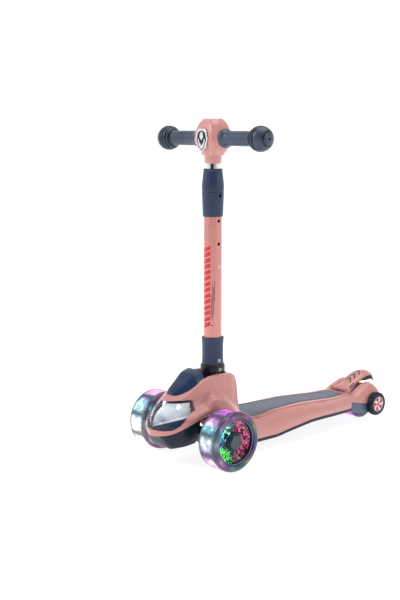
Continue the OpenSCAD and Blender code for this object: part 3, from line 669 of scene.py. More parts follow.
OUTER_YS = ([-160, -159.2, -158, -156, -153.5, -151] + steps(-148, -130, 6) + steps(-127, -40, 29)
            + steps(-37, 24, 20) + steps(26, 64, 19) + steps(68, BODY_BACK, 64))
INNER_YS = ([-155, -152.5] + steps(-149, 20, 42) + steps(24, 64, 20) + steps(70, BODY_BACK - WALL, 32))


def body_shape(off=0.0, drop=0.0, ys=OUTER_YS):
    return loft([body_ring(y, off, drop if off else 0.5) for y in ys])


def window_shape(grow=0.0, depth=90):
    """Cuts forward from behind the headlight with the window's outline."""
    middle_z = 105
    line = [(x + math.copysign(grow, x), z + math.copysign(grow, z - middle_z))
            for x, z in rounded(WINDOW, 5, 5)]
    return moved(prism(line, 0, depth), lambda u, v, w: (u, WINDOW_BACK - w, v))


def cover_shape(grow=0.0, depth=4.0):
    """Shield over the nose: a crowned top between two sloping sides, a point at the front."""
    rings = []
    for y in steps(-113.5 - grow, -49 + grow, 44):
        w, edge, crown, flat = (curve(COVER_ROWS, y, k) for k in (1, 2, 3, 4))
        w, crown = w + grow, crown + grow
        half = [(w, edge - depth), (w, edge), (w - 0.6, edge + 0.5)]
        half += [(mix(w, flat, t), mix(edge, crown, t + 0.25 * t * (1 - t))) for t in (0.35, 0.7)]
        half += [(flat * t, crown + 0.8 * (1 - t * t)) for t in (1, 0.6, 0.2)]
        rings.append(across(half, y))
    return loft(rings)


def pad_ring(y, grow=0.0):
    """Across the pad: a rounded edge, a groove inside it and the flat."""
    w = curve(PAD_ROWS, y) + grow
    base = curve(MIDDLE_ROWS, y) - PAD_SINK
    top = base + PAD_T
    if grow:
        return [(-w, y, base - grow), (-w, y, top), (-w - 1.2, y, top + 2), (w + 1.2, y, top + 2),
                (w, y, top), (w, y, base - grow)]
    half = [(w, base), (w, top - 0.9), (w - 0.3, top - 0.35), (w - 0.9, top), (w - 3.2, top),
            (w - 3.5, top - 0.9), (w - 4.3, top - 0.9), (w - 4.6, top)]
    return across(half, y)


PAD_YS = [57, 57.6, 58.4, 59.4, 60.6, 62, 64, 66, 69, 73] + steps(77, 376, 60)


# Rear arm: y, inner upper edge, and y, outer side
ARM_TOP = [(364, 60), (376, 62), (386, 64), (396, 67.5), (406, 72.5), (416, 77), (426, 81),
           (434, 84), (442, 85.5), (450, 84.5), (457, 81), (463, 76), (467, 69.5), (469, 63), (470, 54)]
ARM_SIDE = [(364, 54), (378, 55.2), (400, 56), (470, 56)]
ARM_SPLIT = 42
PANEL = [(367, 34), (378, 29), (402, 24), (428, 20), (430.5, 40), (369, 53.5), (367, 52)]
WELL_FRONT = 387.4


def arm_shape():
    rings = []
    for y in steps(364, 460, 48) + [462, 464, 465.6, 467, 468, 468.8, 469.4, 469.8]:
        top, side = curve(ARM_TOP, y), curve(ARM_SIDE, y)
        low = ARM_SPLIT + (2 if y < 372 else 0)
        ring = [(ARM_IN, low), (side - 1, low)]
        for turn in steps(0, math.pi / 2, 12):
            ring.append((mix(ARM_IN + 2, side, math.cos(turn) ** 0.75),
                         mix(low + 1, top, math.sin(turn) ** 0.8)))
        ring += arc(ARM_IN + 2, top - 2, 2, 100, 180, 3)
        rings.append([(x, y, z) for x, z in ring])
    eye = side_plate(arc(REAR_Y, REAR_R, 13, 0, 345, 23), ARM_IN + 0.2, ARM_OUT - 0.4)
    return loft(rings), eye


def grown(outline, by):
    """A convex outline pushed out from its middle."""
    middle_u = sum(u for u, v in outline) / len(outline)
    middle_v = sum(v for u, v in outline) / len(outline)
    return [(u + math.copysign(by, u - middle_u), v + math.copysign(by, v - middle_v))
            for u, v in outline]


def carry_normals(obj, guide):
    """Shades the surface left from a guide as the guide is shaded, past the cuts made in it."""
    guide.data.shade_smooth()
    guide.data.set_sharp_from_angle(angle=math.radians(40))
    carry = obj.modifiers.new("carry", "DATA_TRANSFER")
    carry.object = guide
    carry.use_loop_data = True
    carry.data_types_loops = {"CUSTOM_NORMAL"}
    carry.loop_mapping = "POLYINTERP_NEAREST"
    carry.use_max_distance = True
    carry.max_distance = 0.2 * MM
    settle(obj)
    bpy.data.objects.remove(guide)


def make_shell():
    shell = shape_object("shell", body_shape())
    core = shape_object("core", body_shape(WALL, 15, INNER_YS))
    cheek = block((SLOT_HALF, SLOT_FRONT - WALL, 100), (SLOT_HALF + 2.5, 46, 180))
    bulkhead = block((-SLOT_HALF - 1, SLOT_FRONT - WALL, 101), (SLOT_HALF + 1, SLOT_FRONT, 180))
    combine(core, "DIFFERENCE", cheek, mirrored(cheek), bulkhead)
    combine(shell, "DIFFERENCE", core)
    for arm in arm_shape():
        combine(shell, "UNION", arm, mirrored(arm))
    panel = side_plate(grown(rounded(PANEL, 2.5, 4), 0.5), ARM_IN - 0.4, 66)
    combine(shell, "DIFFERENCE",
            block((-SLOT_HALF, SLOT_FRONT, 92), (SLOT_HALF, 25, 192)),
            block((-SLOT_HALF, 20, 118), (SLOT_HALF, 80, 218)),
            block((-28.2, SLOT_FRONT, 70), (28.2, 30, 110)),
            block((-SLOT_HALF, -49.4, 160), (SLOT_HALF, SLOT_FRONT + 1, 200)),
            window_shape(),
            cover_shape(0.4, 5),
            loft([pad_ring(y, 0.3) for y in [56.7] + PAD_YS[1:-1] + [376.3]]),
            block((-ARM_IN, WELL_FRONT, 20), (ARM_IN, 508, 120)),
            panel, mirrored(panel),
            rod(10, -38, 38, (0, 0, FOLD_Z)))
    lug = side_plate([(BRAKE_Y - 4.2, 56), (BRAKE_Y + 4.2, 56), (BRAKE_Y + 4.4, BRAKE_Z)]
                     + arc(BRAKE_Y, BRAKE_Z, 4.4, 20, 160, 8) + [(BRAKE_Y - 4.4, BRAKE_Z)],
                     20.6, 28.6)
    combine(shell, "UNION", lug, mirrored(lug))
    dress(shell, shell_pink, "chassis", "shell_pink", ["deck_shell"], 40)
    sides = [side for arm in arm_shape() for side in (arm, mirrored(arm))]
    carry_normals(shell, shape_object("guide", joined(body_shape(), *sides)))


def make_tray():
    def ring(y):
        w, z = half_width(y) - 1.5, edge_z(y)
        half = [(w, z - 0.3), (w, z - 3), (w - 0.5, z - 5.5), (w - 2, z - 7.3), (w - 4.5, z - 8)]
        return across(half, y)

    tray = shape_object("deck_tray", loft([ring(y) for y in steps(46, 366, 96)]))
    for y in SCREW_YS:
        for side in (1, -1):
            hole = prism(arc(side * SCREW_X, y, 3.8, 0, 345, 23), edge_z(y) - 12,
                         edge_z(y) - 5.6)
            combine(tray, "DIFFERENCE", hole)
    combine(tray, "DIFFERENCE", block((-31.3, 199.7, 20), (31.3, 276.3, 60)))
    dress(tray, dark_navy, "chassis", "navy_plastic", ["deck_base"], 32)


def make_battery_cover():
    low, high = (-31, 200, 36), (31, 276, 38.4)
    cover = shape_object("battery_door", block(low, high))
    for i in range(7):
        y = 214 + 8 * i
        combine(cover, "DIFFERENCE", block((-20, y, 35), (20, y + 3, 36.8)))
    soften(cover, 0.5)
    dress(cover, dark_navy, "chassis", "navy_plastic", ["battery_cover"])


def make_pad():
    piece("foot_pad", loft([pad_ring(y) for y in PAD_YS]), slate_pad, "chassis", "slate_pad",
          ["grip_pad"], 30)
    dashes = []
    for y in steps(84, 356, 28):
        for side in (1, -1):
            rings = []
            for at in steps(y, y + 5.5, 3):
                x = side * (curve(PAD_ROWS, at) - 2.0)
                top = curve(MIDDLE_ROWS, at) - PAD_SINK + PAD_T
                rings.append([(x - 0.7, at, top - 0.4), (x + 0.7, at, top - 0.4),
                              (x + 0.7, at, top + 0.15), (x - 0.7, at, top + 0.15)])
            dashes.append(loft(rings))
    piece("pad_dashes", joined(*dashes), black_print_and_reflection, "chassis", "black_plastic")


def make_cover():
    cover = shape_object("nose_shield", cover_shape())
    soften(cover, 0.9, 3, 18)
    dress(cover, deep_blue, "chassis", "deep_blue_gloss", ["nose_cover"], 16)


def nose_skin(name, outer, inner, grow):
    """The nose's own surface between two depths, inside the headlight window."""
    ys = steps(NOSE_FRONT + outer * 0.3, WINDOW_BACK, 40)
    back = steps(NOSE_FRONT + inner, -80, 34)
    skin = shape_object(name, body_shape(outer, 0.5, ys))
    combine(skin, "DIFFERENCE", body_shape(inner, 20, back))
    combine(skin, "INTERSECT", window_shape(grow))
    return skin


def mask_material():
    """Housing behind the lens: a pale reflector between navy wings, under a dark brim. The reflector
    carries painted glare (paler toward the top, whitened in clouds) and a painted highlight line along
    its lower edge, and the whole mask glows as painted light standing in for the light the lens holds
    back.
    """
    s = Shader("headlight_mask")
    x, _, z = s.axes()
    aside = s.size(x)
    floor_line = s.math("SUBTRACT", z, s.times(aside, 0.42))
    inside = s.times(s.spread(floor_line, 0.0815, 0.0835), s.spread(aside, 0.034, 0.031))
    # painted glare: the reflector grows paler toward the top and is whitened in noisy clouds
    glare_cloud = s.spread(s.noise(40, 2), 0.3, 0.7)
    reflector_and_glare = s.blend(s.spread(z, 0.085, 0.120), linear(120, 126, 138), linear(214, 217, 223))
    reflector_and_glare = s.blend(s.times(glare_cloud, 0.45), reflector_and_glare, linear(246, 248, 250))
    # painted highlight: a thin bright line along the reflector's lower edge
    edge_highlight = s.math("SUBTRACT", floor_line, 0.0850)
    edge_highlight = s.spread(s.size(edge_highlight), 0.0006, 0.0002)
    reflector_and_glare = s.blend(edge_highlight, reflector_and_glare, linear(252, 253, 255))
    brim = s.spread(z, 0.1235, 0.1250)
    inside = s.times(inside, s.math("SUBTRACT", 1.0, brim))
    shown = s.blend(inside, linear(14, 30, 54), reflector_and_glare)
    # painted light: the whole mask glows, standing in for the light that the lens holds back
    s.set(colour=shown, rough=0.3, glow=shown, glow_power=0.42, specular=0.2)
    return s.material


LAMP_X, LAMP_Y, LAMP_Z = 21, -108, 118


def lamp_pair(shape):
    """Both lamps from one on its own axis: tilted to the front and turned a little outward."""
    def stand(u, v, w, side):
        tilt, turn = math.radians(68), math.radians(12) * side
        y, z = v * math.cos(tilt) - w * math.sin(tilt), v * math.sin(tilt) + w * math.cos(tilt)
        x, y = u * math.cos(turn) - y * math.sin(turn), u * math.sin(turn) + y * math.cos(turn)
        return side * LAMP_X + x, LAMP_Y + y, LAMP_Z + z

    return joined(*[moved(shape, lambda u, v, w: stand(u, v, w, side)) for side in (1, -1)])


def make_headlight():
    lens = nose_skin("headlight_glass", 0, 2.2, -0.5)
    dress(lens, clear_lens, "chassis", "clear_lens", ["headlight_lens"], 40)
    mask = nose_skin("headlight_mask", 12, 14, -1.5)
    dress(mask, mask_material(), "chassis", "deep_blue_gloss", ["headlight_housing"], 40)
    bowl = lathe([(5.6, 1.5), (6.6, 2.4), (6.3, 3.4), (5.2, 1.8), (4.2, 1.2), (4.2, 0.4)], 48)
    bulb = lathe([(0, -1.5), (4.0, -1.5), (4.0, 1)] + arc(0, 0.8, 4.0, 4, 90, 8), 48)
    piece("lamp_bowls", lamp_pair(bowl), chrome, "chassis", "chrome_trim")
    piece("lamp_bulbs", lamp_pair(bulb), lamp_white, "chassis", "lamp_lens", ["headlight_lamps"])

KEEL_ROWS = [(-157, 67), (-150, 60), (-141, 47), (-131, 38), (-110, 38), (-84, 40)]


def make_keel():
    def ring(y):
        w, top = half_width(y) - 2, edge_z(y) - 0.3
        low = curve(KEEL_ROWS, y)
        half = [(w, top), (w * 0.97, mix(low, top, 0.75)), (w * 0.85, mix(low, top, 0.3)),
                (w * 0.74, mix(low, top, 0.1)), (w * 0.55, low)]
        return across(half, y)

    keel = shape_object("nose_keel", loft([ring(y) for y in steps(-157, -84, 36)]))
    lean = math.sqrt(0.5)
    combine(keel, "DIFFERENCE", moved(
        pillar(16, -60, 60, 48),
        lambda u, v, w: (u, FRONT_Y + (v - w) * lean, FRONT_R + (v + w) * lean)))
    dress(keel, dark_navy, "chassis", "navy_plastic", ["nose_base"], 25)

# ---------- rear caps, panels ----------
CAP_IN, CAP_OUT, CAP_R, LUGS = 56.3, 70.0, 26.5, 24


def cap_shape():
    depth = CAP_OUT - CAP_IN
    profile = [(9, 0), (CAP_R - 2, 0)] + arc(CAP_R - 2, 2, 2, -80, 0, 4)
    profile += [(CAP_R, z) for z in steps(3, depth - 6.5, 6)]
    profile += arc(CAP_R - 6, depth - 6, 6, 0, 70, 7)
    profile += [(19.5, depth), (17.8, depth), (17.2, depth - 0.6), (17.2, depth - 4),
                (9, depth - 4)]

    def lug(r, h, angle):
        if r < 22.5 or h < 0.5:
            return r, h
        phase = (angle * LUGS / (2 * math.pi) + h * 0.045) % 1
        dip = max(0.0, min(1.0, (0.24 - abs(phase - 0.5)) / 0.06))
        fade = max(0.0, min(1.0, (h - 0.5) / 1.5, (depth - 0.6 - h) / 2.0))
        return r - 1.7 * dip * fade, h

    return lathe(profile, LUGS * 14, lug)


def turbine_shapes():
    """Red disc, and the white petals and ring on it."""
    low = CAP_OUT - 4 - CAP_IN
    disc = lathe([(0, low), (17, low), (17, low + 1.2), (15.2, low + 1.5), (0, low + 1.5)], 72)
    petals = []
    for i in range(5):
        turn = math.radians(72 * i + 8)
        line = flowing([(2.4, 0), (6, 3.6), (11, 4.6), (15, 2.2)], 6)
        line += flowing([(15.4, -2.0), (11, 0.2), (6.5, 0.2), (3.2, -1.4)], 6)
        line = [(u * math.cos(turn) - v * math.sin(turn), u * math.sin(turn) + v * math.cos(turn))
                for u, v in line]
        petals.append(prism(line, low + 1.2, low + 3.0))
    ring = lathe([(15.6, low + 1), (16.9, low + 1), (16.9, low + 2.6), (16.2, low + 3.1),
                  (15.6, low + 2.6)], 72)
    return disc, joined(ring, *petals), lathe(
        [(0, low + 1), (3.2, low + 1), (3.2, low + 3), (2.6, low + 3.6), (0, low + 3.6)], 48)


def make_rear_ends():
    for side, name in SIDES:
        at = (CAP_IN, REAR_Y, REAR_R)
        piece("side_cap_" + name, along_x(cap_shape(), at, side), dark_navy, "chassis",
              "navy_plastic", ["rear_cap_" + name], 38)
        disc, petals, boss = turbine_shapes()
        piece("turbine_disc_" + name, along_x(disc, at, side), red_gloss, "chassis",
              "turbine_red", ["rear_turbine_" + name])
        fins = soften(shape_object("turbine_petals_" + name, along_x(petals, at, side)), 0.25)
        dress(fins, white_print, "chassis", "turbine_red")
        piece("turbine_boss_" + name, along_x(boss, at, side), red_gloss, "chassis",
              "turbine_red")
        plate = side_plate(rounded(PANEL, 2.5, 4), ARM_IN, ARM_OUT)
        panel = shape_object("side_panel_" + name, plate if side > 0 else mirrored(plate))
        soften(panel, 1.6, 3)
        dress(panel, slate, "chassis", "navy_plastic", ["rear_panel_" + name])


# ---------- wheels ----------
def tyre_shape(radius, rim):
    half, s = TYRE_W / 2, 8
    profile = [(rim, half - 4), (rim + 0.6, half - 1.4), (rim + 1.6, half - 0.4)]
    profile += [(rim + 3, half), (rim + 4, half - 0.1), (rim + 4.6, half - 0.9),
                (rim + 5.4, half - 0.9), (rim + 6, half - 0.2)]
    if radius - s <= rim + 7:
        profile = profile[:4]
    tread = arc(radius - s, half - s, s, 90, 0, 10)
    outer = profile + tread
    crown = [(radius, x) for x in steps(half - s - 3, s + 3 - half, 6)]
    return lathe(outer + crown + [(r, -x) for r, x in reversed(outer)], 144)


def facet_disc(seed, inner, outer, depth):
    """Dished ring of jittered triangles between two radii, closed behind."""
    rng = random.Random(seed)
    rings = []
    radii = steps(inner, outer, 6)
    count = 30
    for i, r in enumerate(radii):
        ring = []
        for j in range(count):
            free = 0 < i < len(radii) - 1
            angle = 2 * math.pi * (j + 0.5 * (i % 2)) / count
            angle += rng.uniform(-0.06, 0.06) * free
            reach = r + rng.uniform(-1.2, 1.2) * free
            rise = depth * (1 - math.sin(math.pi * i / (len(radii) - 1))) + rng.uniform(-1, 1) * free
            ring.append((reach * math.cos(angle), reach * math.sin(angle), rise))
        rings.append(ring)
    points = [p for ring in rings for p in ring]
    faces = []
    for i in range(len(radii) - 1):
        for j in range(count):
            a, b = i * count + j, i * count + (j + 1) % count
            c, d = a + count, b + count
            if i % 2:
                faces += [(a, b, d), (a, d, c)]
            else:
                faces += [(a, b, c), (b, d, c)]
    back = len(points)
    for r in (outer, inner):
        points += [(r * math.cos(2 * math.pi * j / count), r * math.sin(2 * math.pi * j / count),
                    -3) for j in range(count)]
    rim = (len(radii) - 1) * count
    for j in range(count):
        k = (j + 1) % count
        faces += [(rim + j, rim + k, back + k, back + j),
                  (back + j, back + k, back + count + k, back + count + j),
                  (back + count + j, back + count + k, k, j)]
    return points, faces


def wheel_piece(name, shape, at, side, material, body, slot, replaces=(), crease=35, bevel=0.0):
    """A wheel's piece has its origin on the axle, so its material turns with it."""
    obj = shape_object(name, along_x(shape, at, side), (side * at[0], at[1], at[2]))
    if bevel:
        soften(obj, bevel)
    return dress(obj, material, body, slot, replaces, crease)


def make_front_wheels():
    for side, name, glow in ((1, "left", tyre_left_glow), (-1, "right", tyre_right_glow)):
        at, body = (FRONT_X, FRONT_Y, FRONT_R), "front_wheel_" + name
        wheel_piece("tyre_" + name, tyre_shape(FRONT_R, 46), at, side, glow, body, "clear_tyre",
                    ["front_tyre_" + name], 40)
        hub = [(46, -21), (46, 21), (43, 21), (42.6, 20), (42, 12), (42, 5), (17, 5), (17, 17),
               (11, 17), (11, -21), (17, -21), (17.6, -2), (35, -2), (42, -20)]
        wheel_piece("hub_" + name, lathe(hub, 144), at, side, dark_navy, body, "hub_facets",
                    ["front_hub_" + name])
        facets = moved(facet_disc(5 + side, 16.5, 42.2, 7.0), lambda u, v, w: (u, v, w + 9))
        wheel_piece("hub_facets_" + name, facets, at, side, hub_glitter_glints, body, "hub_facets",
                    crease=2)
        ring = [(43.2, 20.6), (43.2, 21.6), (43.8, 22.3), (45, 22.3), (45.7, 21.6), (45.7, 20.6)]
        wheel_piece("rim_light_" + name, lathe(ring, 144), at, side, ring_pale, body,
                    "clear_lens", ["light_ring_" + name])
        cap = [(0, 15), (15, 15), (15.4, 16), (15.4, 20)] + arc(11.8, 20.2, 3.4, 0, 90, 6)
        cap += [(10.5, 23.6), (10, 22.9), (0, 22.9)]
        wheel_piece("axle_cap_" + name, lathe(cap, 96), at, side, cap_teal, body,
                    "navy_plastic", ["hub_cap_" + name])
        collar = [(15.6, 13), (19.5, 13), (19.2, 16.5), (17.8, 18.6), (16.2, 18.8), (15.6, 18)]
        wheel_piece("cap_seat_" + name, lathe(collar, 96), at, side, deep_blue, body,
                    "hub_facets")


def make_rear_wheel():
    at = (0, REAR_Y, REAR_R)
    wheel_piece("tyre_rear", tyre_shape(REAR_R, 27), at, 1, tyre_rear_glow, "rear_wheel",
                "clear_tyre", ["rear_tyre"], 40)
    hub = [(27, -21), (27, 21), (24, 21), (23, 8), (15, 8), (15, 21.5), (11, 21.5), (11, -21.5),
           (15, -21.5), (15, -8), (23, -8), (24, -21)]
    wheel_piece("hub_rear", lathe(hub, 96), at, 1, deep_blue, "rear_wheel", "hub_facets",
                ["rear_hub"], 35, 0.4)

# ---------- brake fender ----------
FENDER_ROWS = [(388.6, 75), (390.4, 77), (394, 79.5), (400, 81.5), (408, 84.5), (416, 88), (424, 92),
               (434, 96.5), (445, 101), (456, 104), (466, 105.3), (474, 104.5), (480, 101),
               (485, 93)]
SKIRT_ROWS = [(404, 0.5), (434, 0.8), (445, 5), (454, 8.6), (465, 10), (476, 9), (485, 5)]
FENDER_T, FENDER_HALF, FENDER_CROWN = 4, 20, 6
FENDER_YS = steps(389, 472, 56) + steps(473.5, 485, 14)


def on_fender(x, y, lift=0.0):
    """Point above the fender's crowned skin."""
    return x, y, curve(FENDER_ROWS, y) - FENDER_CROWN * (x / FENDER_HALF) ** 2 + lift


def fender_half(y):
    """Half width, a little less toward the tip."""
    return FENDER_HALF * (1 - 0.10 * max(0, (y - 470) / 15) ** 2)


def make_fender():
    rings = []
    for y in FENDER_YS:
        w = fender_half(y)
        xs = [w * t for t in (-1, -0.985, -0.94, -0.8, -0.6, -0.4, -0.2, 0)]
        xs += [-x for x in reversed(xs[:-1])]
        drop = [1.6, 0.7, 0.15] + [0] * 9 + [0.15, 0.7, 1.6]
        top = [on_fender(x, y, -down) for x, down in zip(xs, drop)]
        low = [on_fender(x, y, -FENDER_T) for x in reversed(xs)]
        rings.append(top + low)
    skin = shape_object("brake_fender_skin", loft(rings))
    combine(skin, "UNION", rod(4.4, -19.5, 19.5, BRAKE_AT, 48))
    combine(skin, "DIFFERENCE", rod(3.8, -8, 8, BRAKE_AT, 48), rod(2.5, -30, 30, BRAKE_AT, 48))
    dress(skin, shell_pink, "brake", "shell_pink", ["brake_fender"], 40)

    rings = []
    for y in [y for y in FENDER_YS if y > 403]:
        w = fender_half(y)
        skirt = FENDER_T + curve(SKIRT_ROWS, y)
        rings.append([on_fender(x, y, -down) for x, down in
                      ((-w, FENDER_T), (-w - 0.4, FENDER_T + 0.8), (-w - 0.4, skirt - 0.8),
                       (-w + 0.4, skirt), (-15.8, skirt), (-15, skirt - 0.8),
                       (-14.6, FENDER_T + 4), (0, FENDER_T + 4), (14.6, FENDER_T + 4),
                       (15, skirt - 0.8), (15.8, skirt), (w - 0.4, skirt),
                       (w + 0.4, skirt - 0.8), (w + 0.4, FENDER_T + 0.8), (w, FENDER_T),
                       (8, FENDER_T), (-8, FENDER_T))])
    piece("fender_liner_skin", loft(rings), dark_navy, "brake", "navy_plastic",
          ["fender_liner"], 30)


def make_chevrons():
    """Raised chevrons that point forward, and a strip along the foot of each edge, both in a dark pink
    that is painted shade on the pink skin.
    """
    marks = []
    for apex in (423, 437, 453):
        for side in (1, -1):
            rings = []
            for t in steps(0, 1, 8):
                x, start = side * t * 11.5, apex - t * 11
                long = 4.8 - 1.2 * t
                rings.append([on_fender(x, start, -0.5), on_fender(x, start, 0.4),
                              on_fender(x, start + long / 2, 0.4),
                              on_fender(x, start + long, 0.4), on_fender(x, start + long, -0.5)])
            marks.append(loft(rings))
    for side in (1, -1):
        marks.append(loft([[on_fender(side * (18.2 + d), y, h - 0.55 * d)
                            for d, h in ((-0.7, -0.4), (-0.7, 0.2), (0.7, 0.2), (0.7, -0.4))]
                           for y in steps(401, 418, 10)]))
    piece("fender_chevrons", joined(*marks), chevron_groove_shade, "brake", "navy_plastic")


def make_brake_pin():
    piece("brake_pivot_pin", rod(2.3, -28, 28, BRAKE_AT), steel, "chassis", "bright_steel",
          ["brake_pin"], 30)
    coil = []
    for turn in range(6):
        x = -7 + 2.6 * turn
        coil.append(along_x(lathe([(2.7, x), (3.7, x), (3.7, x + 1.6), (2.7, x + 1.6)], 32),
                            BRAKE_AT))
    piece("brake_coil", joined(*coil), steel, "chassis", "bright_steel", ["brake_spring"], 30)


def make_shoe():
    rings = []
    for y in steps(418, 448, 12):
        rings.append([on_fender(x, y, -down) for x, down in
                      ((13, 7.8), (13, 9.2), (12.4, 9.8), (-12.4, 9.8), (-13, 9.2), (-13, 7.8))])
    piece("brake_pad", loft(rings), friction, "brake", "friction_rubber", ["brake_shoe"], 30)


# ---------- stem ----------
HOLE_STEP, TRAVEL = 46, 142


def wrap(radius, azimuth, s0, s1, low, high, thick=0.18, n=8):
    """Thin patch on a round stem. Azimuth 0 faces the front and 90 the rider's left;
    s runs round the surface, and low(t) and high(t) bound the height along it."""
    rings = []
    for t in steps(0, 1, n):
        angle = math.radians(azimuth) + mix(s0, s1, t) / radius
        x, y = math.sin(angle), -math.cos(angle)
        inner, outer = radius - 0.1, radius + thick
        rings.append([(inner * x, inner * y, low(t)), (outer * x, outer * y, low(t)),
                      (outer * x, outer * y, high(t)), (inner * x, inner * y, high(t))])
    return loft(rings)


def wrap_ring(radius, azimuth, z, r_in, r_out, thick=0.18):
    """Flat ring printed on a round stem."""
    rings = []
    for a in steps(0, 360, 40)[:40]:
        ca, sa = math.cos(math.radians(a)), math.sin(math.radians(a))
        ring = []
        for r, lift in ((r_in, -0.1), (r_in, thick), (r_out, thick), (r_out, -0.1)):
            angle = math.radians(azimuth) + r * ca / radius
            reach = radius + lift
            ring.append((reach * math.sin(angle), -reach * math.cos(angle), z + r * sa))
        rings.append(ring)
    return loft(rings, cyclic=True)


def target(radius, z, r):
    """Small printed ring with a dot in it, on the rider's left."""
    return joined(wrap_ring(radius, 86, z, r, r + 0.9), wrap_ring(radius, 86, z, 0, 1.0))


def make_knuckle():
    barrel_r, half = 26.0, 26.0
    profile = [(5.05, -half), (24.5, -half)]
    for i in range(5):
        x = -22 + 11 * i
        profile += [(24.5, x - 3.1), (barrel_r - 0.4, x - 2.5), (barrel_r, x - 2.0),
                    (barrel_r, x + 2.0), (barrel_r - 0.4, x + 2.5), (24.5, x + 3.1)]
    profile += [(24.5, half), (5.05, half)]
    knuckle = shape_object("fold_knuckle", along_x(lathe(profile, 128), (0, 0, FOLD_Z)))
    stub = [(0, 162), (25, 162), (25, 184.5), (24.4, 186.4), (23.6, 187), (0, 187)]
    combine(knuckle, "UNION", lathe(stub, 128))
    combine(knuckle, "DIFFERENCE", pillar(LOWER_R, 168, 220, 96))
    dress(knuckle, black, "stem", "black_plastic", ["hinge_knuckle"], 32)
    piece("knuckle_mark", target(BLOCK_R, 178.5, 2.6), white_print, "stem", "black_plastic")


def make_lower_tube():
    r = LOWER_R
    tube = shape_object("stem_tube", lathe([(r, 168), (r, 520), (r - 2, 520), (r - 2, 168)], 128))
    for i in range(3):
        combine(tube, "DIFFERENCE", rod(3.6, 10, 24, (0, 0, BUTTON_Z + HOLE_STEP * i)))
    dress(tube, tube_pink, "stem", "tube_pink", ["lower_tube"], 35)

    red = []
    for i in range(7):
        for z in (265 + 23.6 * i, 276.2 + 23.6 * i):
            red.append(wrap(r, 6, -8.5, 8.5, lambda t: z + 3.4 * mix(-8.5, 8.5, t) / 9,
                            lambda t: z + 8.2 + 3.4 * mix(-8.5, 8.5, t) / 9))
    piece("stem_blocks", joined(*red), red_print, "stem", "tube_pink")

    lines = []
    for s, low, high in ((0, 279, 352), (2.4, 290, 346), (-2.2, 284, 330), (4.4, 318, 360)):
        lines.append(wrap(r, 46, s - 0.45, s + 0.45, lambda t: low, lambda t: high, n=2))
    lines.append(wrap_ring(r, 44, 268, 0.0, 1.5))
    piece("stem_lines", joined(*lines), black_print_and_reflection, "stem", "tube_pink")


def make_sleeve():
    profile = [(LOWER_R, 486), (19.6, 486), (20.1, 486.8), (20.4, 490), (22, 534), (21.4, 535),
               (16, 535), (16, 555), (13.9, 555), (13.9, 532), (LOWER_R - 2, 532),
               (LOWER_R - 2, 520), (LOWER_R, 520)]
    sleeve = shape_object("height_guide", lathe(profile, 128))
    combine(sleeve, "DIFFERENCE", rod(3.6, 10, 30, (0, 0, BUTTON_Z + TRAVEL)))
    dress(sleeve, navy, "stem", "navy_plastic", ["height_sleeve"], 30)


def make_collar():
    r = LOWER_R + 0.05
    profile = [(r, 187.4), (22.0, 187.4), (22.3, 188), (21.7, 199), (21.5, 205), (21.6, 227),
               (22.4, 238), (22.75, 240), (22.75, 242), (22.3, 242.8), (21.4, 243), (r, 243)]
    piece("twist_collar", lathe(profile, 128), navy, "fold_collar", "navy_plastic",
          ["fold_collar"], 28)
    ribs = []
    for i in range(6):
        z = 203 + 5.6 * i
        for azimuth in (-8, 172):
            ribs.append(wrap(21.5, azimuth, -4.5, 4.5, lambda t: z + 0.9 * (2 * t - 1) ** 2,
                             lambda t: z + 1.9 - 0.6 * (2 * t - 1) ** 2, 0.55))
    piece("collar_ribs", joined(*ribs), slate, "fold_collar", "navy_plastic")
    piece("collar_mark", target(21.9, 196.5, 2.7), white_print, "fold_collar", "navy_plastic")


def make_clamp():
    profile = [(14.3, 535.4), (21.4, 535.4), (21.9, 536.2), (22, 538), (21.9, 548), (18.8, 577)]
    profile += arc(17.2, 578.6, 2.2, 10, 90, 4) + [(14.6, 580.8), (14.3, 580)]

    def ridge(r, h, angle):
        if r < 17 or h < 541 or h > 573:
            return r, h
        fade = min(1, (h - 541) / 5, (573 - h) / 5)
        return r + 0.35 * fade * max(0, math.cos(18 * angle)), h

    outer = profile[:5] + [(mix(21.9, 18.8, t), mix(548, 577, t)) for t in steps(0.1, 0.9, 8)]
    piece("height_nut", lathe(outer + profile[5:], 216, ridge), navy, "height_clamp",
          "navy_plastic", ["height_clamp"], 30)


def make_upper_tube():
    r = UPPER_R
    top = BAR_Z - 13
    profile = [(r, 345), (r, top), (r - 1.5, top), (r - 1.5, 345)]
    tube = shape_object("slide_tube", lathe(profile, 96))
    foot = lathe([(r - 0.5, 345), (15.95, 345), (15.95, 363), (r - 0.5, 363)], 96)
    combine(tube, "UNION", foot)
    combine(tube, "DIFFERENCE", rod(3.6, 8, 20, (0, 0, BUTTON_Z)))
    dress(tube, chrome, "upper_stem", "chrome_trim", ["upper_tube"])
    # painted reflection: a black band down the chrome on the side that faces the viewer, in place of
    # the dark reflection of that side
    reflection_band = wrap(r, 42, -3, 3, lambda t: 400, lambda t: 597, 0.12, 4)
    piece("slide_reflection_band", reflection_band, black_print_and_reflection, "upper_stem", "chrome_trim")

# ---------- handlebar ----------
HEAD_ROWS = [(606, 18, 16, 6), (622, 29, 24, 9), (634, 34, 28, 10), (650, 34, 27, 10),
             (668, 27, 22, 9), (678, 19, 14, 6)]


def cut_corners(x, y, c):
    return [(x, y - c), (x - c, y), (c - x, y), (-x, y - c), (-x, c - y), (c - x, -y),
            (x - c, -y), (x, c - y)]


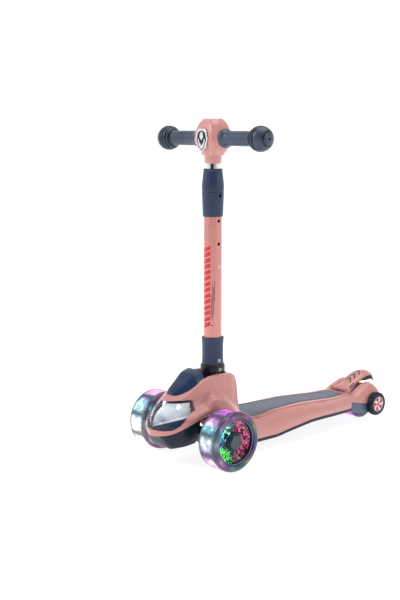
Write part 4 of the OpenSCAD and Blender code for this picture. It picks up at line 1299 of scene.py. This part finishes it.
def make_head():
    rings = [[(u, v, z) for u, v in cut_corners(x, y, c)] for z, x, y, c in HEAD_ROWS]
    head = shape_object("bar_hub", loft(rings))
    soften(head, 2.2, 4, 12)
    neck = [(UPPER_R, 591.4), (15.6, 591), (16.6, 591.8), (17, 593), (17, 604), (18.5, 612),
            (UPPER_R, 612)]
    combine(head, "UNION", lathe(neck, 96))
    combine(head, "DIFFERENCE", rod(11.05, -60, 60, (0, 0, BAR_Z), 64),
            pillar(UPPER_R, 580, 626, 64))
    dress(head, head_pink, "upper_stem", "shell_pink", ["bar_head"], 22)

SHIELD = [(0, -24), (11, -13), (17, 4), (13, 19), (6, 24), (-6, 24), (-13, 19), (-17, 4),
          (-11, -13)]


def make_badge():
    def plate(scale, low, high, outline=SHIELD):
        line = rounded([(u * scale, v * scale) for u, v in outline], 1.2, 3)
        return moved(prism(line, low, high), lambda u, v, w: (u, -28 - w, 635 + v))

    frame_piece = shape_object("badge_frame", plate(1.0, 0, 2.8))
    combine(frame_piece, "DIFFERENCE", plate(0.82, 1.4, 4))
    soften(frame_piece, 0.35, 2)
    dress(frame_piece, chrome, "upper_stem", "chrome_trim", ["head_badge"])
    piece("badge_field", plate(0.81, 1.2, 1.9), black_print_and_reflection, "upper_stem", "black_plastic")
    chevron = [(0, -17), (8, -8), (11, 5), (7.5, 3), (5, -4), (0, -9), (-5, -4), (-7.5, 3),
               (-11, 5), (-8, -8)]
    crest = [(0, 1), (5.5, 8), (4, 15), (0, 18), (-4, 15), (-5.5, 8)]
    emblem = shape_object("badge_emblem", joined(plate(1, 1.7, 3, chevron),
                                                plate(1, 1.7, 3, crest)))
    soften(emblem, 0.3, 2)
    dress(emblem, chrome, "upper_stem", "chrome_trim")



def grip_profile():
    """Flange, ribbed handle and grooved ball, as (radius, x)."""
    line = [(11.05, 34.4), (17.4, 34.4), (18.5, 35), (19, 36), (19, 38.6), (18.4, 40),
            (17, 42.6), (15.2, 45), (GRIP_R, 47)]
    for i in range(14):
        x = 51 + 4.2 * i
        line += [(GRIP_R, x), (GRIP_R - 0.35, x + 0.6), (GRIP_R - 0.35, x + 1.2),
                 (GRIP_R, x + 1.8)]
    line += [(GRIP_R, 110.2), (15.2, 112), (16.2, 113.4)]
    for a in steps(-46, 84, 130):
        rad = math.radians(a)
        r, x = BALL_R * math.cos(rad), BALL_X + BALL_R * math.sin(rad)
        away = min(abs(x - BALL_X - g) for g in GROOVES)
        r -= 2.6 * math.sqrt(max(0, 1 - (away / 1.6) ** 2))
        if abs(x - BALL_X - BALL_STEP) < 0.6:
            r -= 1.0
        line.append((r, x))
    return line + [(2.5, BALL_X + 24.5), (2.5, BALL_X + 6), (11.05, BALL_X + 6)]


def make_grips():
    for side, name in SIDES:
        piece("handle_" + name, along_x(lathe(grip_profile(), 128), (0, 0, BAR_Z), side),
              grip_rubber, "upper_stem", "navy_rubber", ["grip_" + name], 28)

for make in (make_shell, make_tray, make_battery_cover, make_pad, make_cover, make_headlight,
             make_keel, make_rear_ends, make_front_wheels, make_rear_wheel, make_fender,
             make_chevrons, make_brake_pin, make_shoe, make_knuckle, make_lower_tube,
             make_sleeve, make_collar, make_clamp, make_upper_tube, make_head, make_badge,
             make_grips):
    make()

# ---------- CAD pieces that keep their shape ----------
KEPT = {
    steel: ("fold_bolt", "kingpin", "rear_axle", "rear_spacers", "deck_screws",
            "front_axle_bolts", "axle_nuts", "front_bearings_left", "front_bearings_right",
            "rear_bearings", "bar_tube", "snap_button"),
    black_metal: ("hinge_bracket", "truck_beam"), black: ("battery_box", "grip_plugs"),
    board_green: ("light_board",), cell_gold: ("battery_cells",),
    urethane: ("steering_bushings",),
}
for material, nodes in KEPT.items():
    for node in nodes:
        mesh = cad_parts[node].data
        mesh.materials.clear()
        mesh.materials.append(material)


# ---------- floor, light, camera ----------
def make_floor():
    mesh = bpy.data.meshes.new("floor")
    reach = 14
    mesh.from_pydata([(-reach, -reach, 0), (reach, -reach, 0), (reach, reach, 0),
                      (-reach, reach, 0)], [], [(0, 1, 2, 3)])
    floor = bpy.data.objects.new("floor", mesh)
    scene.collection.objects.link(floor)
    s = Shader("floor")
    s.set(colour=s.blend(s.spread(s.noise(3, 2), 0.4, 0.6), (0.42, 0.42, 0.42, 1),
                         (0.44, 0.44, 0.44, 1)), rough=0.95, specular=0.0,
          glow=(1, 1, 1, 1), glow_power=0.86)
    mesh.materials.append(s.material)


def make_world():
    """White all round at the horizon, softer overhead, and dim on the side of the viewer."""
    world = bpy.data.worlds.new("studio")
    scene.world = world
    world.use_nodes = True
    s = Nodes(world.node_tree, "Generated")
    toward = s.node("ShaderNodeVectorMath", operation="DOT_PRODUCT")
    s.feed(toward.inputs[0], s.place)
    toward.inputs[1].default_value = (0.743, -0.669, 0)
    overhead = s.spread(s.axes()[2], 0.12, 0.7, 1.05, 0.6)
    ahead = s.spread(toward.outputs["Value"], 0.1, 0.95, 1.0, 0.18)
    back = s.tree.nodes["Background"]
    back.inputs["Color"].default_value = (1, 1, 1, 1)
    s.feed(back.inputs["Strength"], s.times(overhead, ahead))


def add_light(name, at, aim, size, power):
    light = bpy.data.lights.new(name, "AREA")
    light.shape = "RECTANGLE"
    light.size, light.size_y = size
    light.energy = power
    lamp = bpy.data.objects.new(name, light)
    scene.collection.objects.link(lamp)
    lamp.location = at
    lamp.rotation_euler = (Vector(aim) - Vector(at)).to_track_quat("-Z", "Y").to_euler()
    lamp.visible_camera = False


def make_camera():
    """Stands ahead and to the left, a little above the handlebar, as the product is shown."""
    data = bpy.data.cameras.new("camera")
    camera = bpy.data.objects.new("camera", data)
    scene.collection.objects.link(camera)
    scene.camera = camera
    around, away, height = math.radians(47.952), 2202.16, 664.93
    look, pitch = math.radians(48.62), math.radians(8.967)
    camera.location = row((away * math.sin(around), -away * math.cos(around), height))
    direction = Vector((-math.sin(look) * math.cos(pitch), math.cos(look) * math.cos(pitch),
                        -math.sin(pitch)))
    camera.rotation_euler = direction.to_track_quat("-Z", "Y").to_euler()
    data.sensor_width = 36
    data.lens = 66.38
    data.clip_end = 100


make_floor()
make_world()
add_light("key", (-1.3, -2.3, 2.2), (0, 0, 0.25), (1.2, 1.2), 34)
add_light("fill", (2.6, 0.6, 1.6), (0, 0, 0.3), (0.5, 2.0), 12)
add_light("top", (0.2, 0.3, 3.0), (0, 0, 0), (2.2, 2.2), 36)
make_camera()
scene.view_settings.view_transform = "Standard"
